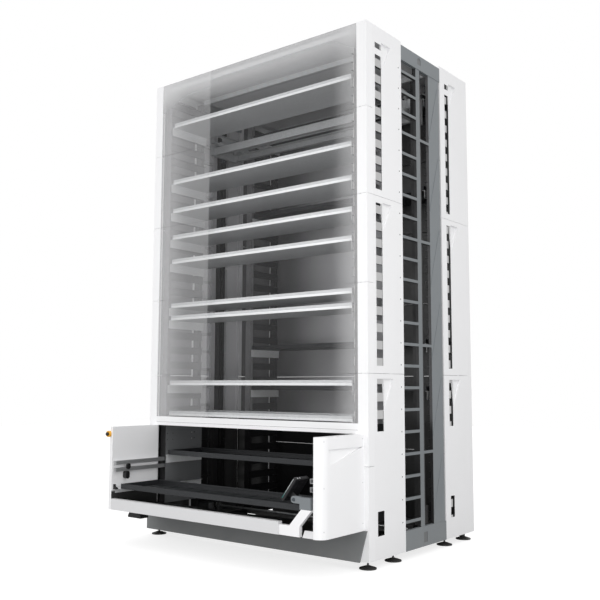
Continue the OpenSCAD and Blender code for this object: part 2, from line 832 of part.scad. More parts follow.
module bearing_housings() color([0.30, 0.31, 0.33]) both_sides() {
    difference() {
        union() {
            block([bearing_x, y_mid - bearing_r, post_low],
                  [bearing_x + bearing_w, y_mid + bearing_r, bottom_pulley_z]);
            rod_across(bearing_x, bearing_x + bearing_w, y_mid, bottom_pulley_z, 2 * bearing_r);
            block([bearing_x, y_mid - bearing_foot, post_low],
                  [bearing_x + bearing_w, y_mid + bearing_foot, post_low + bearing_foot_h]);
        }
        rod_across(bearing_x - overrun, bearing_x + bearing_w + overrun, y_mid, bottom_pulley_z,
                   drive_shaft_d + 2 * shaft_clear);
    }
    axle_from = belt_x - pulley_flange_t - 2 * pulley_play - bracket_t;
    rod_across(axle_from, frame_x, y_mid, top_pulley_z, axle_d);
    for (x = [axle_from, frame_x - bracket_t])
        block([x, y_mid - bracket_w / 2, top_pulley_z - axle_d],
              [x + bracket_t, y_mid + bracket_w / 2, post_high]);
}

// Lift carriage
module rounded_window(low, high, r) {
    translate(low + [r, 0]) square(high - low - [2 * r, 0]);
    translate(low + [0, r]) square(high - low - [0, 2 * r]);
    for (x = [low[0] + r, high[0] - r]) for (y = [low[1] + r, high[1] - r])
        translate([x, y]) circle(r = r, $fn = round_fn);
}

module carriage_sides() color([0.78, 0.80, 0.81]) both_sides() {
    y_from = y_mid - carriage_d / 2;
    y_to = y_mid + carriage_d / 2;
    z_from = lift_level - carriage_down;
    z_to = lift_level + carriage_up;
    translate([side_plate_x, 0, 0]) rotate([90, 0, 90]) linear_extrude(side_plate_t) difference() {
        polygon(rect([y_from, z_from], [y_to, z_to]));
        for (span = [[y_from + window_edge, y_mid - window_from_middle],
                     [y_mid + window_from_middle, y_to - window_edge]])
            rounded_window([span[0], lift_level + window_up],
                           [span[1], z_to - window_edge / 2], window_r);
    }
    for (z = [z_from, z_to - frame_t])
        block([side_plate_x - side_flange, y_from, z], [side_plate_x, y_to, z + frame_t]);
}

module carriage_beams() color([0.70, 0.72, 0.73]) {
    z_to = lift_level - carriage_beam_top;
    for (side = [-1, 1]) {
        back_at = y_mid + side * (carriage_d / 2 - beam_from_end);
        run_across(channel(back_at, back_at - side * carriage_beam_w,
                           z_to - carriage_beam_h, z_to, frame_t), -side_plate_x, side_plate_x);
    }
}

module carriage_rails() color([0.80, 0.81, 0.82]) both_sides() {
    x = carriage_rail_x;
    run_back([[x, lift_level - carriage_rail_h], [x + frame_t, lift_level - carriage_rail_h],
              [x + frame_t, lift_level - frame_t], [side_plate_x, lift_level - frame_t],
              [side_plate_x, lift_level], [x, lift_level]],
             y_mid - carriage_d / 2, y_mid + carriage_d / 2);
}

module guide_shoes() color([0.16, 0.20, 0.24]) both_sides() {
    half = guide_gap / 2 - shoe_play;
    x_to = belt_x - shoe_belt_gap;
    for (z = [lift_level + shoe_up, lift_level - shoe_down]) {
        block([side_plate_x + side_plate_t, y_mid - shoe_stem_w / 2, z - shoe_stem_w / 2],
              [x_to, y_mid + shoe_stem_w / 2, z + shoe_stem_w / 2]);
        block([x_to - shoe_t, y_mid - half, z - shoe_l / 2], [x_to, y_mid + half, z + shoe_l / 2]);
    }
}

module belt_clamps() color([0.72, 0.74, 0.75]) both_sides() {
    run_in = pulley_r + belt_gap;
    z = lift_level - clamp_down;
    difference() {
        block([side_plate_x + side_plate_t, y_mid - run_in - belt_t - clamp_t, z - clamp_h / 2],
              [belt_x + belt_w, y_mid - run_in + clamp_t, z + clamp_h / 2]);
        block([belt_x - belt_gap, y_mid - run_in - belt_t - belt_gap, z - clamp_h],
              [belt_x + belt_w + overrun, y_mid - run_in + belt_gap, z + clamp_h]);
    }
}

// Extractor: toothed bars that slide in tracks over the pinions of one shaft
function involute(a) = tan(a) * 180 / PI - a;

function tooth_half(r) =
    (PI * tooth_module / 2 - backlash) / 2 / pinion_r * 180 / PI
    + involute(pressure_angle) - involute(acos(min(1, pinion_base_r / r)));

function pinion_points() =
    let (radii = [pinion_r - tooth_module * root_share, pinion_base_r,
                  (pinion_base_r + pinion_r) / 2, pinion_r,
                  (pinion_r + pinion_out_r) / 2, pinion_out_r])
    [for (k = [0:pinion_teeth - 1]) for (side = [-1, 1]) for (j = [0:5])
        let (r = radii[side < 0 ? j : 5 - j],
             a = k * 360 / pinion_teeth + side * tooth_half(max(r, pinion_base_r)))
        r * [cos(a), sin(a)]];

function rack_tooth(y) =
    let (half = (PI * tooth_module - backlash) / 4, slope = tan(pressure_angle),
         up = tooth_module * root_share, down = tooth_module * rack_top_share)
    [[y - half - up * slope, pitch_z + up], [y - half + down * slope, pitch_z - down],
     [y + half - down * slope, pitch_z - down], [y + half + up * slope, pitch_z + up]];

module extractor_tracks() color([0.60, 0.62, 0.63]) both_sides() {
    low = lift_level - carriage_beam_top;
    x_to = extractor_x + extractor_w;
    high = low + extractor_track_h;
    slot = pinion_w / 2 + pinion_gap;
    difference() {
        run_back([[extractor_x, low], [x_to, low], [x_to, high], [x_to - extractor_wall, high],
                  [x_to - extractor_wall, low + extractor_wall],
                  [extractor_x + extractor_wall, low + extractor_wall],
                  [extractor_x + extractor_wall, high], [extractor_x, high]],
                 y_mid - carriage_d / 2, y_mid + carriage_d / 2);
        block([wheel_x - slot, y_mid - pinion_r, low - overrun],
              [wheel_x + slot, y_mid + pinion_r, low + extractor_wall + overrun]);
    }
    difference() {
        block([extractor_x - hanger_t, y_mid - hanger_w / 2, extractor_shaft_z - hanger_w / 2],
              [extractor_x, y_mid + hanger_w / 2, high]);
        rod_across(extractor_x - hanger_t - overrun, extractor_x + overrun, y_mid,
                   extractor_shaft_z, extractor_shaft_d + 2 * shaft_clear);
    }
}

module extractor_bars() color([0.82, 0.83, 0.84]) both_sides() {
    x_from = extractor_x + extractor_wall + extractor_play;
    x_to = extractor_x + extractor_w - extractor_wall - extractor_play;
    y_from = y_mid - extractor_bar_l / 2;
    y_to = y_mid + extractor_bar_l / 2;
    z_head = lift_level - extractor_head_gap;
    z_body = z_head - extractor_head_h;
    z_root = pitch_z + tooth_module * root_share;
    slot = pinion_w / 2 + pinion_gap;
    pitch = PI * tooth_module;
    tooth_pairs = floor((extractor_bar_l / 2 - pitch) / pitch);
    difference() {
        run_across([[y_from, bar_low], [y_to, bar_low], [y_to, z_head], [y_to - extractor_head_l, z_head],
                    [y_to - extractor_head_l, z_body], [y_from + extractor_head_l, z_body],
                    [y_from + extractor_head_l, z_head], [y_from, z_head]], x_from, x_to);
        block([wheel_x - slot, y_from - overrun, bar_low - overrun], [wheel_x + slot, y_to + overrun, z_root]);
    }
    for (k = [-tooth_pairs:tooth_pairs - 1])
        run_across(rack_tooth(y_mid + (k + 0.5) * pitch), wheel_x - pinion_w / 2, wheel_x + pinion_w / 2);
}

module extractor_shaft() color([0.55, 0.57, 0.58]) {
    rod_across(-wheel_x, wheel_x, y_mid, extractor_shaft_z, extractor_shaft_d);
    both_sides() translate([0, y_mid, extractor_shaft_z])
        run_across(pinion_points(), wheel_x - pinion_w / 2, wheel_x + pinion_w / 2);
}

// Gearmotor on the drive shaft, with its motor standing beside the guide column
module gearmotor() color([0.06, 0.06, 0.07]) {
    x = bearing_x - gearbox_w - pulley_play;
    y = y_mid + gearbox_d / 2;
    y_motor = y + motor_d / 2 + motor_fin_h;
    z = post_low + gearbox_h;
    difference() {
        union() {
            block([x, y_mid - gearbox_d / 2, post_low], [x + gearbox_w, y, z]);
            block([x, y, post_low], [motor_x + motor_d / 2, y_motor + motor_d / 2, z]);
            translate([motor_x, y_motor, z]) cylinder(h = motor_l, d = motor_d, $fn = round_fn);
            for (k = [0:motor_fins - 1])
                translate([motor_x, y_motor, z + motor_cover_l + k * motor_fin_pitch])
                    cylinder(h = motor_fin_t, d = motor_d + 2 * motor_fin_h, $fn = round_fn);
        }
        rod_across(x - overrun, x + gearbox_w + overrun, y_mid, bottom_pulley_z,
                   drive_shaft_d + 2 * shaft_clear);
    }
}

// Picking bay
function bay_plan(inset, back) =
    let (r = bay_corner_r - inset, c = [bay_x - bay_corner_r, bay_front + bay_corner_r])
    concat([[bay_in_x + inset, back], [bay_in_x + inset, bay_front + inset]],
           arc(c, r, -90, 0, bay_arc_steps), [[bay_x - inset, back]]);

module bay_side() {
    points = [for (s = bay_recess_shares)
        [y_front - s[0] * bay_flat, bay_z_low + s[1] * (bay_z_high - bay_z_low)]];
    difference() {
        union() {
            difference() {
                upright(bay_plan(0, y_front), bay_z_low, bay_z_high);
                upright(bay_plan(sheet_t, y_front + overrun), bay_z_low + sheet_t, bay_z_high - sheet_t);
            }
            intersection() {
                upright(bay_plan(0, y_front), bay_z_low, bay_z_high);
                pressed_recess(points, bay_x);
            }
        }
        recess_wedge(points, bay_x, recess_depth, overrun);
    }
}

module bay_side_right() color([0.94, 0.94, 0.94]) bay_side();

module bay_side_left() color([0.90, 0.90, 0.90]) difference() {
    mirror([1, 0, 0]) bay_side();
    rod_back(estop_x, bay_front - overrun, bay_front + bay_corner_r, estop_z, estop_d + 2 * estop_wall_clear);
}

module bay_sill() color([0.94, 0.94, 0.94]) {
    z_to = bay_z_low + bay_sill_h;
    y_to = bay_front + bay_sill_d;
    difference() {
        block([-bay_in_x, bay_front, bay_z_low], [bay_sill_end, y_to, z_to]);
        block([-bay_in_x + sheet_t, bay_front + sheet_t, bay_z_low + sheet_t],
              [bay_sill_end - sheet_t, y_to + overrun, z_to - sheet_t]);
    }
    run_across([[bay_front + sill_corner_in, bay_z_low], [y_to, bay_z_low], [y_to, bay_z_low + sill_corner_h]],
               sill_corner_x, bay_in_x);
}

module bay_floor() color([0.08, 0.08, 0.09]) {
    z = bay_z_low + bay_floor_up;
    block([-bay_in_x, bay_front + bay_sill_d, z], [bay_in_x, y_front, z + sheet_t]);
    block([-bay_in_x, bay_front + bay_sill_d, bay_z_low], [bay_in_x, bay_front + bay_sill_d + sheet_t, z]);
    block([-bay_in_x, y_front - sheet_t, bay_z_low], [bay_in_x, y_front, z]);
}

module bay_guide_rails() color([0.75, 0.76, 0.77]) both_sides()
    for (up = bay_rail_ups) {
        z = bay_z_low + up;
        run_back(channel(bay_in_x - bay_rail_d, bay_in_x, z, z + bay_rail_h, frame_t),
                 bay_front + bay_rail_start, y_front + bay_rail_end);
    }

module bay_sensors() color([0.04, 0.04, 0.05]) both_sides()
    for (s = sensors)
        translate([bay_in_x - s[2] - s[3], bay_front + sensor_y, bay_z_low + s[0]])
            rotate([90, 0, 90]) linear_extrude(s[3]) hull()
                for (side = [-1, 1]) translate([0, side * (s[1] - sensor_w) / 2])
                    circle(d = sensor_w, $fn = round_fn);

// Controls
module console_arm() color([0.85, 0.85, 0.85]) {
    y_from = bay_front + arm_front;
    knee = bay_z_low + arm_knee;
    top = bay_z_low + arm_rise;
    run_back([[bay_sill_end, bay_z_low], [arm_x + arm_w, bay_z_low], [arm_x + arm_w, knee],
              [arm_x + arm_w + arm_lean, top], [arm_x + arm_lean, top], [arm_x, knee], [bay_sill_end, knee]],
             y_from, y_from + arm_t);
}

module console_box() color([0.30, 0.31, 0.32]) {
    y_from = bay_front + arm_front;
    low = bay_z_low + arm_rise;
    difference() {
        union() {
            block([box_x, y_from, low], [box_x + box_w, y_from + box_d, low + box_h]);
            rod_back(console_pivot_x, y_from, y_from + console_hub_w, console_pivot_z, 2 * console_hub_r);
            block([console_pivot_x, y_from, console_pivot_z - console_hub_r],
                  [box_x, y_from + console_hub_w, console_pivot_z + console_hub_r]);
        }
        rod_back(console_pivot_x, y_from - overrun, y_from + console_hub_w + overrun, console_pivot_z,
                 console_pin_d + 2 * console_pin_gap);
    }
}

module console() color([0.05, 0.05, 0.06]) {
    hub_end = bay_front + arm_front + console_hub_w;
    ear_from = hub_end + console_play;
    ear_to = ear_from + console_ear_t;
    x = console_pivot_x;
    z = console_pivot_z;
    rod_back(x, bay_front, ear_to, z, console_pin_d);
    rod_back(x, bay_front, bay_front + console_pin_head, z, console_pin_head_d);
    rod_back(x, ear_from, ear_to, z, 2 * console_hub_r);
    translate([x, 0, z]) rotate([0, -console_tilt, 0]) {
        run_back(rect([-console_below, console_off], [console_h - console_below, console_off + console_t]),
                 bay_front, bay_front + console_w);
        run_back(rect([-console_hub_r, 0], [console_hub_r, console_off]), ear_from, ear_to);
    }
}

module estop_collar() color([0.93, 0.63, 0.08]) {
    y_out = bay_front - estop_collar_front;
    difference() {
        union() {
            rod_back(estop_x, y_out, y_out + estop_collar_l, estop_z, estop_d);
            block([estop_x - estop_plate_side, y_out + estop_collar_l - estop_plate_t, estop_z - estop_d / 2],
                  [-bay_in_x - sheet_t, y_out + estop_collar_l, estop_z + estop_d / 2]);
        }
        rod_back(estop_x, y_out - overrun, y_out + estop_bore_l, estop_z, estop_button_d + 2 * estop_wall_clear);
    }
}

module estop_button() color([0.10, 0.09, 0.08])
    rod_back(estop_x, bay_front - estop_proud,
             bay_front - estop_collar_front + estop_bore_l - estop_travel - estop_wall_clear,
             estop_z, estop_button_d);

module under_bay_housing() color([0.05, 0.05, 0.06]) {
    low = bay_z_low - socket_h;
    w = socket_w / 2;
    foot = socket_foot_w / 2;
    run_back([[socket_x - foot, low], [socket_x + foot, low], [socket_x + foot, low + socket_foot_h],
              [socket_x + w, bay_z_low], [socket_x + w, bay_z_low + bay_floor_up],
              [socket_x - w, bay_z_low + bay_floor_up], [socket_x - w, bay_z_low],
              [socket_x - foot, low + socket_foot_h]], bay_front + socket_y, bay_front + socket_y + socket_d);
}

// Trays
module tray(y, level) {
    low = level + tray_clear;
    high = low + tray_h;
    y_to = y + tray_d;
    run_across([[y, low], [y_to, low], [y_to, high], [y_to - tray_rim, high],
                [y_to - tray_rim, high - tray_t], [y_to - tray_t, high - tray_t],
                [y_to - tray_t, low + tray_t], [y + tray_t, low + tray_t],
                [y + tray_t, high - tray_t], [y + tray_rim, high - tray_t],
                [y + tray_rim, high], [y, high]], -tray_x, tray_x);
    both_sides() block([tray_x - tray_t, y + tray_t, low + tray_t],
                       [tray_x, y_to - tray_t, high - tray_t]);
}

module front_tray(number) color([0.80, 0.81, 0.82])
    tray(front_tray_y, shelf_level(front_level_shares[number - 1]));

module rear_tray(number) color([0.30, 0.31, 0.32])
    tray(rear_tray_y, shelf_level(rear_level_shares[number - 1]));

module tray_waiting() color([0.26, 0.27, 0.28]) tray(front_tray_y, wait_level);

module tray_in_bay() color([0.20, 0.21, 0.22]) tray(bay_tray_y, bay_level);

module tray_front_1() front_tray(1);
module tray_front_2() front_tray(2);
module tray_front_3() front_tray(3);
module tray_front_4() front_tray(4);
module tray_front_5() front_tray(5);
module tray_front_6() front_tray(6);
module tray_front_7() front_tray(7);
module tray_front_8() front_tray(8);
module tray_front_9() front_tray(9);
module tray_rear_1() rear_tray(1);
module tray_rear_2() rear_tray(2);
module tray_rear_3() rear_tray(3);
module tray_rear_4() rear_tray(4);

base_frame();
levelling_feet();
top_frame();
plinth();
side_panels_front();
side_panels_rear();
corner_covers();
front_panels();
front_beam();
rear_panels();
roof_panels();
shaft_ladders();
wide_columns();
shaft_end_panels();
shaft_covers_left();
rack_sides();
tray_supports();
guide_columns();
lift_belts();
top_pulleys();
bearing_housings();
drive_shaft();
drive_pulleys();
gearmotor();
carriage_sides();
carriage_beams();
carriage_rails();
guide_shoes();
belt_clamps();
extractor_tracks();
extractor_bars();
extractor_shaft();
bay_side_right();
bay_side_left();
bay_sill();
bay_floor();
bay_guide_rails();
bay_sensors();
access_side_plates();
console_arm();
console_box();
console();
estop_collar();
estop_button();
under_bay_housing();
tray_front_1();
tray_front_2();
tray_front_3();
tray_front_4();
tray_front_5();
tray_front_6();
tray_front_7();
tray_front_8();
tray_front_9();
tray_waiting();
tray_in_bay();
tray_rear_1();
tray_rear_2();
tray_rear_3();
tray_rear_4();
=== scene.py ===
# %% [markdown]
# A vertical lift module, dressed in Blender
#
# The machine stores trays in two columns with a lift between them. Its solids
# come from the CAD model and are loaded as they are, in metres, with +X to the
# right, +Y to the back and the floor at z = 0. This lesson adds what a CAD
# model leaves out: finishes with scale and wear, screws, teeth, and the small
# shapes of the controls. A place is read from the box of the piece that carries
# it wherever a box can tell it, and is given in metres where it can't.

# %% Load the frame
import math

import bmesh
import bpy
from mathutils import Matrix, Vector


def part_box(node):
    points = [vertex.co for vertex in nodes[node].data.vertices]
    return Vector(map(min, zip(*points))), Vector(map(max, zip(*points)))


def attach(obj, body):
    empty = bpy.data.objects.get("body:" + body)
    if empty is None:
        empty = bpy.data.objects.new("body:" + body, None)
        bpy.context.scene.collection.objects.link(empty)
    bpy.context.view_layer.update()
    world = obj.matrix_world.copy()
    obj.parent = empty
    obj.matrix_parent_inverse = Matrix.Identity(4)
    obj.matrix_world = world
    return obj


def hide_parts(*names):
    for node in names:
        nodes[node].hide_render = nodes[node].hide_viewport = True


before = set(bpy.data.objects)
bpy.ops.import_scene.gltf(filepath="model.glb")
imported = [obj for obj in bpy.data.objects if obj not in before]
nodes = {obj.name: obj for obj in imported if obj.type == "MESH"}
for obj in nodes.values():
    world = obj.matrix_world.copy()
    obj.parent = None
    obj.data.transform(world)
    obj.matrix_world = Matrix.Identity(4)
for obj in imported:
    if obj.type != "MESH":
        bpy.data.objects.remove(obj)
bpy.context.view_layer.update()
scene = bpy.context.scene

# %% [markdown]
# The places that many pieces share are the corners of the body. Each is read
# from the box of a CAD piece, so the dressing follows the solids.

# %% Corners of the body
front_panel_low, front_panel_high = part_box("side_panels_front")
rear_panel_low, rear_panel_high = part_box("side_panels_rear")
left_x, right_x = front_panel_low.x, front_panel_high.x
front_y, shaft_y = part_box("corner_covers")[0].y, front_panel_high.y
rear_y, back_y = rear_panel_low.y, rear_panel_high.y
panel_low = front_panel_low.z - 0.002
body_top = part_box("roof_panels")[1].z
ladder_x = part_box("shaft_ladders")[1].x
rack_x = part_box("rack_sides")[1].x
print("body from", round(front_y, 3), "to", round(back_y, 3), "top", round(body_top, 3))

# %% [markdown]
# The camera stands low at the front right corner and looks slightly up, as a
# person does before a tall machine. Its focal length and place were solved
# from the straight edges of the body.

# %% Camera
FOCAL_LENGTH, SENSOR_WIDTH = 48.57, 36.0
EYE_X, EYE_Y, EYE_HEIGHT = 6.958, -9.019, 1.950
TURN, LIFT, ROLL = math.radians(38.311), math.radians(6.083), math.radians(0.167)

camera_data = bpy.data.cameras.new("camera")
camera_data.sensor_width = SENSOR_WIDTH
camera_data.lens = FOCAL_LENGTH
camera_data.clip_end = 100.0
camera = bpy.data.objects.new("camera", camera_data)
scene.collection.objects.link(camera)
scene.camera = camera
camera.location = (EYE_X, EYE_Y + (front_y + back_y) / 2, EYE_HEIGHT + panel_low)
camera.matrix_world = (Matrix.Translation(camera.location) @ Matrix.Rotation(TURN, 4, "Z")
                       @ Matrix.Rotation(math.pi / 2 + LIFT, 4, "X") @ Matrix.Rotation(ROLL, 4, "Z"))
print("camera at", [round(v, 2) for v in camera.location])

# %% [markdown]
# The sky, the floor and all the finishes are node trees. A few helpers keep
# them short. `add` makes a node and fills its sockets, where a value is either
# a constant or the output of another node. `calc`, `times`, `ramp` and `mix`
# each add one kind of step and give back its output. `coordinates` gives a
# place on the piece in metres, and `outward` is large where a face at the
# machine's side looks outwards and negative where it looks inwards.

# %% Helpers for node trees
COLOR, FLOAT = "NodeSocketColor", "NodeSocketFloat"


def grey(value):
    return (value, value, value, 1.0)


def feed(tree, socket, value):
    if isinstance(value, bpy.types.NodeSocket):
        tree.links.new(value, socket)
    else:
        socket.default_value = value


def add(tree, kind, values=None, **settings):
    node = tree.nodes.new(kind)
    for key, value in settings.items():
        setattr(node, key, value)
    for socket, value in (values or {}).items():
        feed(tree, node.inputs[socket], value)
    return node


def calc(tree, operation, *values):
    return add(tree, "ShaderNodeMath", dict(enumerate(values)), operation=operation).outputs[0]


def times(tree, *factors):
    product = factors[0]
    for factor in factors[1:]:
        product = calc(tree, "MULTIPLY", product, factor)
    return product


def ramp(tree, value, start, end):
    return add(tree, "ShaderNodeMapRange", {"Value": value, "From Min": start, "From Max": end},
               interpolation_type="SMOOTHSTEP").outputs["Result"]


def mix(tree, share, one, two, blend="MIX"):
    return add(tree, "ShaderNodeMix", {"Factor": share, "A": one, "B": two}, data_type="RGBA",
               blend_type=blend).outputs["Result"]


def coordinates(tree):
    place = add(tree, "ShaderNodeTexCoord").outputs["Object"]
    return add(tree, "ShaderNodeSeparateXYZ", {0: place}).outputs


def outward(tree, at):
    normal = add(tree, "ShaderNodeNewGeometry").outputs["Normal"]
    return times(tree, at["X"], add(tree, "ShaderNodeSeparateXYZ", {0: normal}).outputs["X"])


def new_group(name, inputs, outputs, kind="ShaderNodeTree"):
    tree = bpy.data.node_groups.new(name, kind)
    for label, socket, value in inputs:
        made = tree.interface.new_socket(label, in_out="INPUT", socket_type=socket)
        if value is not None:
            made.default_value = value
    for label, socket in outputs:
        tree.interface.new_socket(label, in_out="OUTPUT", socket_type=socket)
    return tree, tree.nodes.new("NodeGroupInput").outputs, tree.nodes.new("NodeGroupOutput").inputs


def new_material(name, rough, color=(0.8, 0.8, 0.8)):
    material = bpy.data.materials.new(name)
    material.use_nodes = True
    shader = material.node_tree.nodes["Principled BSDF"]
    shader.inputs["Roughness"].default_value = rough
    shader.inputs["Base Color"].default_value = (*color, 1.0)
    return material, material.node_tree, shader


print("helpers for node trees ready")

# %% [markdown]
# A soft sky lights everything: it is white to the camera, bright above, and dim
# below the horizon, so undersides come out grey without a floor. Two large
# lamps give the white covers their slight difference between the front and the
# side. A third stands low at the corner and reaches the trays through the clear
# front and the slots.

# %% Light
SKY_ABOVE, SKY_BELOW = 0.95, 0.42
HORIZON_FROM, HORIZON_TO = -0.25, 0.35
LAMPS = (("front_lamp", (-3.5, -9.5, 4.5), (0.0, front_y, 2.6), (6.0, 6.0), 190.0),
         ("side_lamp", (9.0, -2.0, 5.0), (right_x, 0.5, 2.6), (4.0, 7.0), 128.0),
         ("low_lamp", (7.0, -9.5, 1.4), (0.6, 0.0, 3.0), (5.0, 2.4), 300.0))

scene.view_settings.view_transform = "Standard"
world = bpy.data.worlds.new("soft sky")
scene.world = world
world.use_nodes = True
sky = world.node_tree
direction = add(sky, "ShaderNodeSeparateXYZ", {0: add(sky, "ShaderNodeTexCoord").outputs["Generated"]})
brightness = add(sky, "ShaderNodeMapRange",
                 {"Value": direction.outputs["Z"], "From Min": HORIZON_FROM, "From Max": HORIZON_TO,
                  "To Min": SKY_BELOW, "To Max": SKY_ABOVE})
seen = add(sky, "ShaderNodeLightPath").outputs["Is Camera Ray"]
feed(sky, sky.nodes["Background"].inputs["Strength"], 1.0)
feed(sky, sky.nodes["Background"].inputs["Color"], calc(sky, "MAXIMUM", brightness.outputs["Result"], seen))
for name, place, aim, size, power in LAMPS:
    data = bpy.data.lights.new(name, "AREA")
    data.shape = "RECTANGLE"
    data.size, data.size_y = size
    data.energy = power
    obj = bpy.data.objects.new(name, data)
    obj.location = place
    obj.rotation_euler = (Vector(aim) - Vector(place)).to_track_quat("-Z", "Y").to_euler()
    scene.collection.objects.link(obj)
print("sky and", len(LAMPS), "lamps")

# %% [markdown]
# The floor is plain and pale. It gives back a little light to everything, and
# its own glow, which only the camera sees, keeps it as white as the sky. Under
# the body, which is open at the bottom, a darker patch stands for the shade
# there. Both are only part of the picture.

# %% Floor
FLOOR_REACH, FLOOR_DROP = 30.0, 0.001
FLOOR_GLOW = 0.75
SHADE_LEFT, SHADE_FRONT, SHADE_RIGHT, SHADE_BACK = 0.02, 0.40, 0.45, 0.02


def flat_patch(name, corners, height, material):
    (x_from, y_from), (x_to, y_to) = corners
    mesh = bpy.data.meshes.new(name)
    mesh.from_pydata([(x_from, y_from, height), (x_to, y_from, height), (x_to, y_to, height),
                      (x_from, y_to, height)], [], [(0, 1, 2, 3)])
    mesh.materials.append(material)
    obj = bpy.data.objects.new(name, mesh)
    scene.collection.objects.link(obj)
    return obj


pale_floor, tree, shader = new_material("pale floor", 0.9, (0.40, 0.40, 0.40))
shader.inputs["Specular IOR Level"].default_value = 0.0
shader.inputs["Emission Color"].default_value = grey(1.0)
seen = add(tree, "ShaderNodeLightPath").outputs["Is Camera Ray"]
feed(tree, shader.inputs["Emission Strength"], times(tree, seen, FLOOR_GLOW))
shade_grey = new_material("shade under the body", 0.9, (0.01, 0.01, 0.01))[0]
floor = flat_patch("floor", ((-FLOOR_REACH, -FLOOR_REACH), (FLOOR_REACH, FLOOR_REACH)), -FLOOR_DROP,
                   pale_floor)
under = flat_patch("shade_patch", ((left_x + SHADE_LEFT, front_y + SHADE_FRONT),
                                   (right_x - SHADE_RIGHT, back_y + SHADE_BACK)), 0.0, shade_grey)
print("floor and shade patch")

# %% [markdown]
# Many finishes need the same few effects: the fine grain of powder coat, dust
# that settles low on the machine, and the spangle of galvanised sheet. Each
# effect is built once as a node group with named sockets and then placed in
# every material with its own values. All of them read Object coordinates,
# which are metres here, so a grain of one millimetre is one millimetre on
# every piece.

# %% Fine grain
grain, g_in, g_out = new_group("fine grain", [("Scale", FLOAT, 350.0), ("Cloud Scale", FLOAT, 2.0)],
                               [("Height", FLOAT), ("Cloud", FLOAT)])
place = add(grain, "ShaderNodeTexCoord").outputs["Object"]
for label, scale, detail, rough in (("Height", "Scale", 3.0, 0.5), ("Cloud", "Cloud Scale", 4.0, 0.6)):
    noise = add(grain, "ShaderNodeTexNoise", {"Vector": place, "Scale": g_in[scale], "Detail": detail,
                                              "Roughness": rough})
    feed(grain, g_out[label], noise.outputs["Fac"])
print("group", grain.name)

# %% Settled dust
DUST_ROUGHNESS = 0.4

dust, d_in, d_out = new_group(
    "settled dust",
    [("Color", COLOR, grey(0.8)), ("Dust Color", COLOR, (0.5, 0.5, 0.48, 1.0)), ("Reach", FLOAT, 0.7),
     ("Amount", FLOAT, 0.3), ("Cloud", FLOAT, 0.5), ("Roughness", FLOAT, 0.4)],
    [("Color", COLOR), ("Roughness", FLOAT)])
fall = add(dust, "ShaderNodeMapRange", {"Value": coordinates(dust)["Z"], "From Max": d_in["Reach"],
                                        "To Min": 1.0, "To Max": 0.0})
share = times(dust, fall.outputs["Result"], d_in["Cloud"], d_in["Amount"])
feed(dust, d_out["Color"], mix(dust, share, d_in["Color"], d_in["Dust Color"]))
feed(dust, d_out["Roughness"], calc(dust, "MULTIPLY_ADD", share, DUST_ROUGHNESS, d_in["Roughness"]))
print("group", dust.name)

# %% Spangle of galvanised sheet
spangle, s_in, s_out = new_group(
    "spangle", [("Color", COLOR, grey(0.6)), ("Scale", FLOAT, 60.0), ("Contrast", FLOAT, 0.2)],
    [("Color", COLOR), ("Height", FLOAT)])
place = add(spangle, "ShaderNodeTexCoord").outputs["Object"]
cells = add(spangle, "ShaderNodeTexVoronoi", {"Vector": place, "Scale": s_in["Scale"]})
tone = add(spangle, "ShaderNodeSeparateColor", {0: cells.outputs["Color"]}).outputs
level = add(spangle, "ShaderNodeMapRange", {"Value": tone["Red"], "To Min": 1.0,
                                            "To Max": calc(spangle, "SUBTRACT", 1.0, s_in["Contrast"])})
feed(spangle, s_out["Color"], mix(spangle, 1.0, s_in["Color"], level.outputs["Result"], "MULTIPLY"))
feed(spangle, s_out["Height"], tone["Green"])
print("group", spangle.name)

# %% [markdown]
# Little light reaches the inside of the machine, so two more groups paint
# shade there. "inner side" paints light and shade on a sheet inside the body,
# in tones lighter or darker than its coat: one tone low behind the bay and
# others at the left, the right and the far right. "deep shade" paints darker
# shade on whatever stands low in the shaft and the rear column, and on the rear
# racks on the left. Both find their place from the Object coordinates and the faces' normals alone.

# %% Painted shade on the inner side of a cover
SHADE_FADES = (1.45, 1.70)
LEFT_TO_RIGHT, RIGHT_TO_FAR = (-1.5, -0.4), (0.5, 0.8)
LOOKS_INWARDS = -0.9
FRONT_SKIN, BACK_SKIN, ROOF_SKIN = 0.002, 0.0015, 0.0368

inner, i_in, i_out = new_group(
    "inner side",
    [("Color", COLOR, grey(0.8)), ("Low Color", COLOR, grey(0.02)), ("Inner Faces", FLOAT, 0.0),
     ("Left Color", COLOR, grey(0.1)), ("Right Color", COLOR, grey(0.4)), ("Far Color", COLOR, grey(0.4)),
     ("Half Width", FLOAT, 1.79)],
    [("Color", COLOR)])
at = coordinates(inner)
narrow = calc(inner, "LESS_THAN", calc(inner, "ABSOLUTE", at["X"]), i_in["Half Width"])
turned_in = times(inner, calc(inner, "LESS_THAN", outward(inner, at), LOOKS_INWARDS), i_in["Inner Faces"])
inside = times(inner, calc(inner, "MAXIMUM", narrow, turned_in),
               calc(inner, "GREATER_THAN", at["Y"], front_y + FRONT_SKIN),
               calc(inner, "LESS_THAN", at["Y"], back_y - BACK_SKIN),
               calc(inner, "LESS_THAN", at["Z"], body_top - ROOF_SKIN))
across = mix(inner, ramp(inner, at["X"], *LEFT_TO_RIGHT), i_in["Left Color"], i_in["Right Color"])
beyond = mix(inner, ramp(inner, at["X"], *RIGHT_TO_FAR), across, i_in["Far Color"])
inner_shade = mix(inner, ramp(inner, at["Z"], *SHADE_FADES), i_in["Low Color"], beyond)
feed(inner, i_out["Color"], mix(inner, inside, i_in["Color"], inner_shade))
print("group", inner.name)

# %% Deep shade behind the bay
DEEP_BLACK = (0.008, 0.008, 0.009, 1.0)
OPEN_SIDE_X, LEFT_RACKS_X = 1.5, -1.0
SHAFT_MARGIN, REAR_MARGIN = 0.05, 0.1

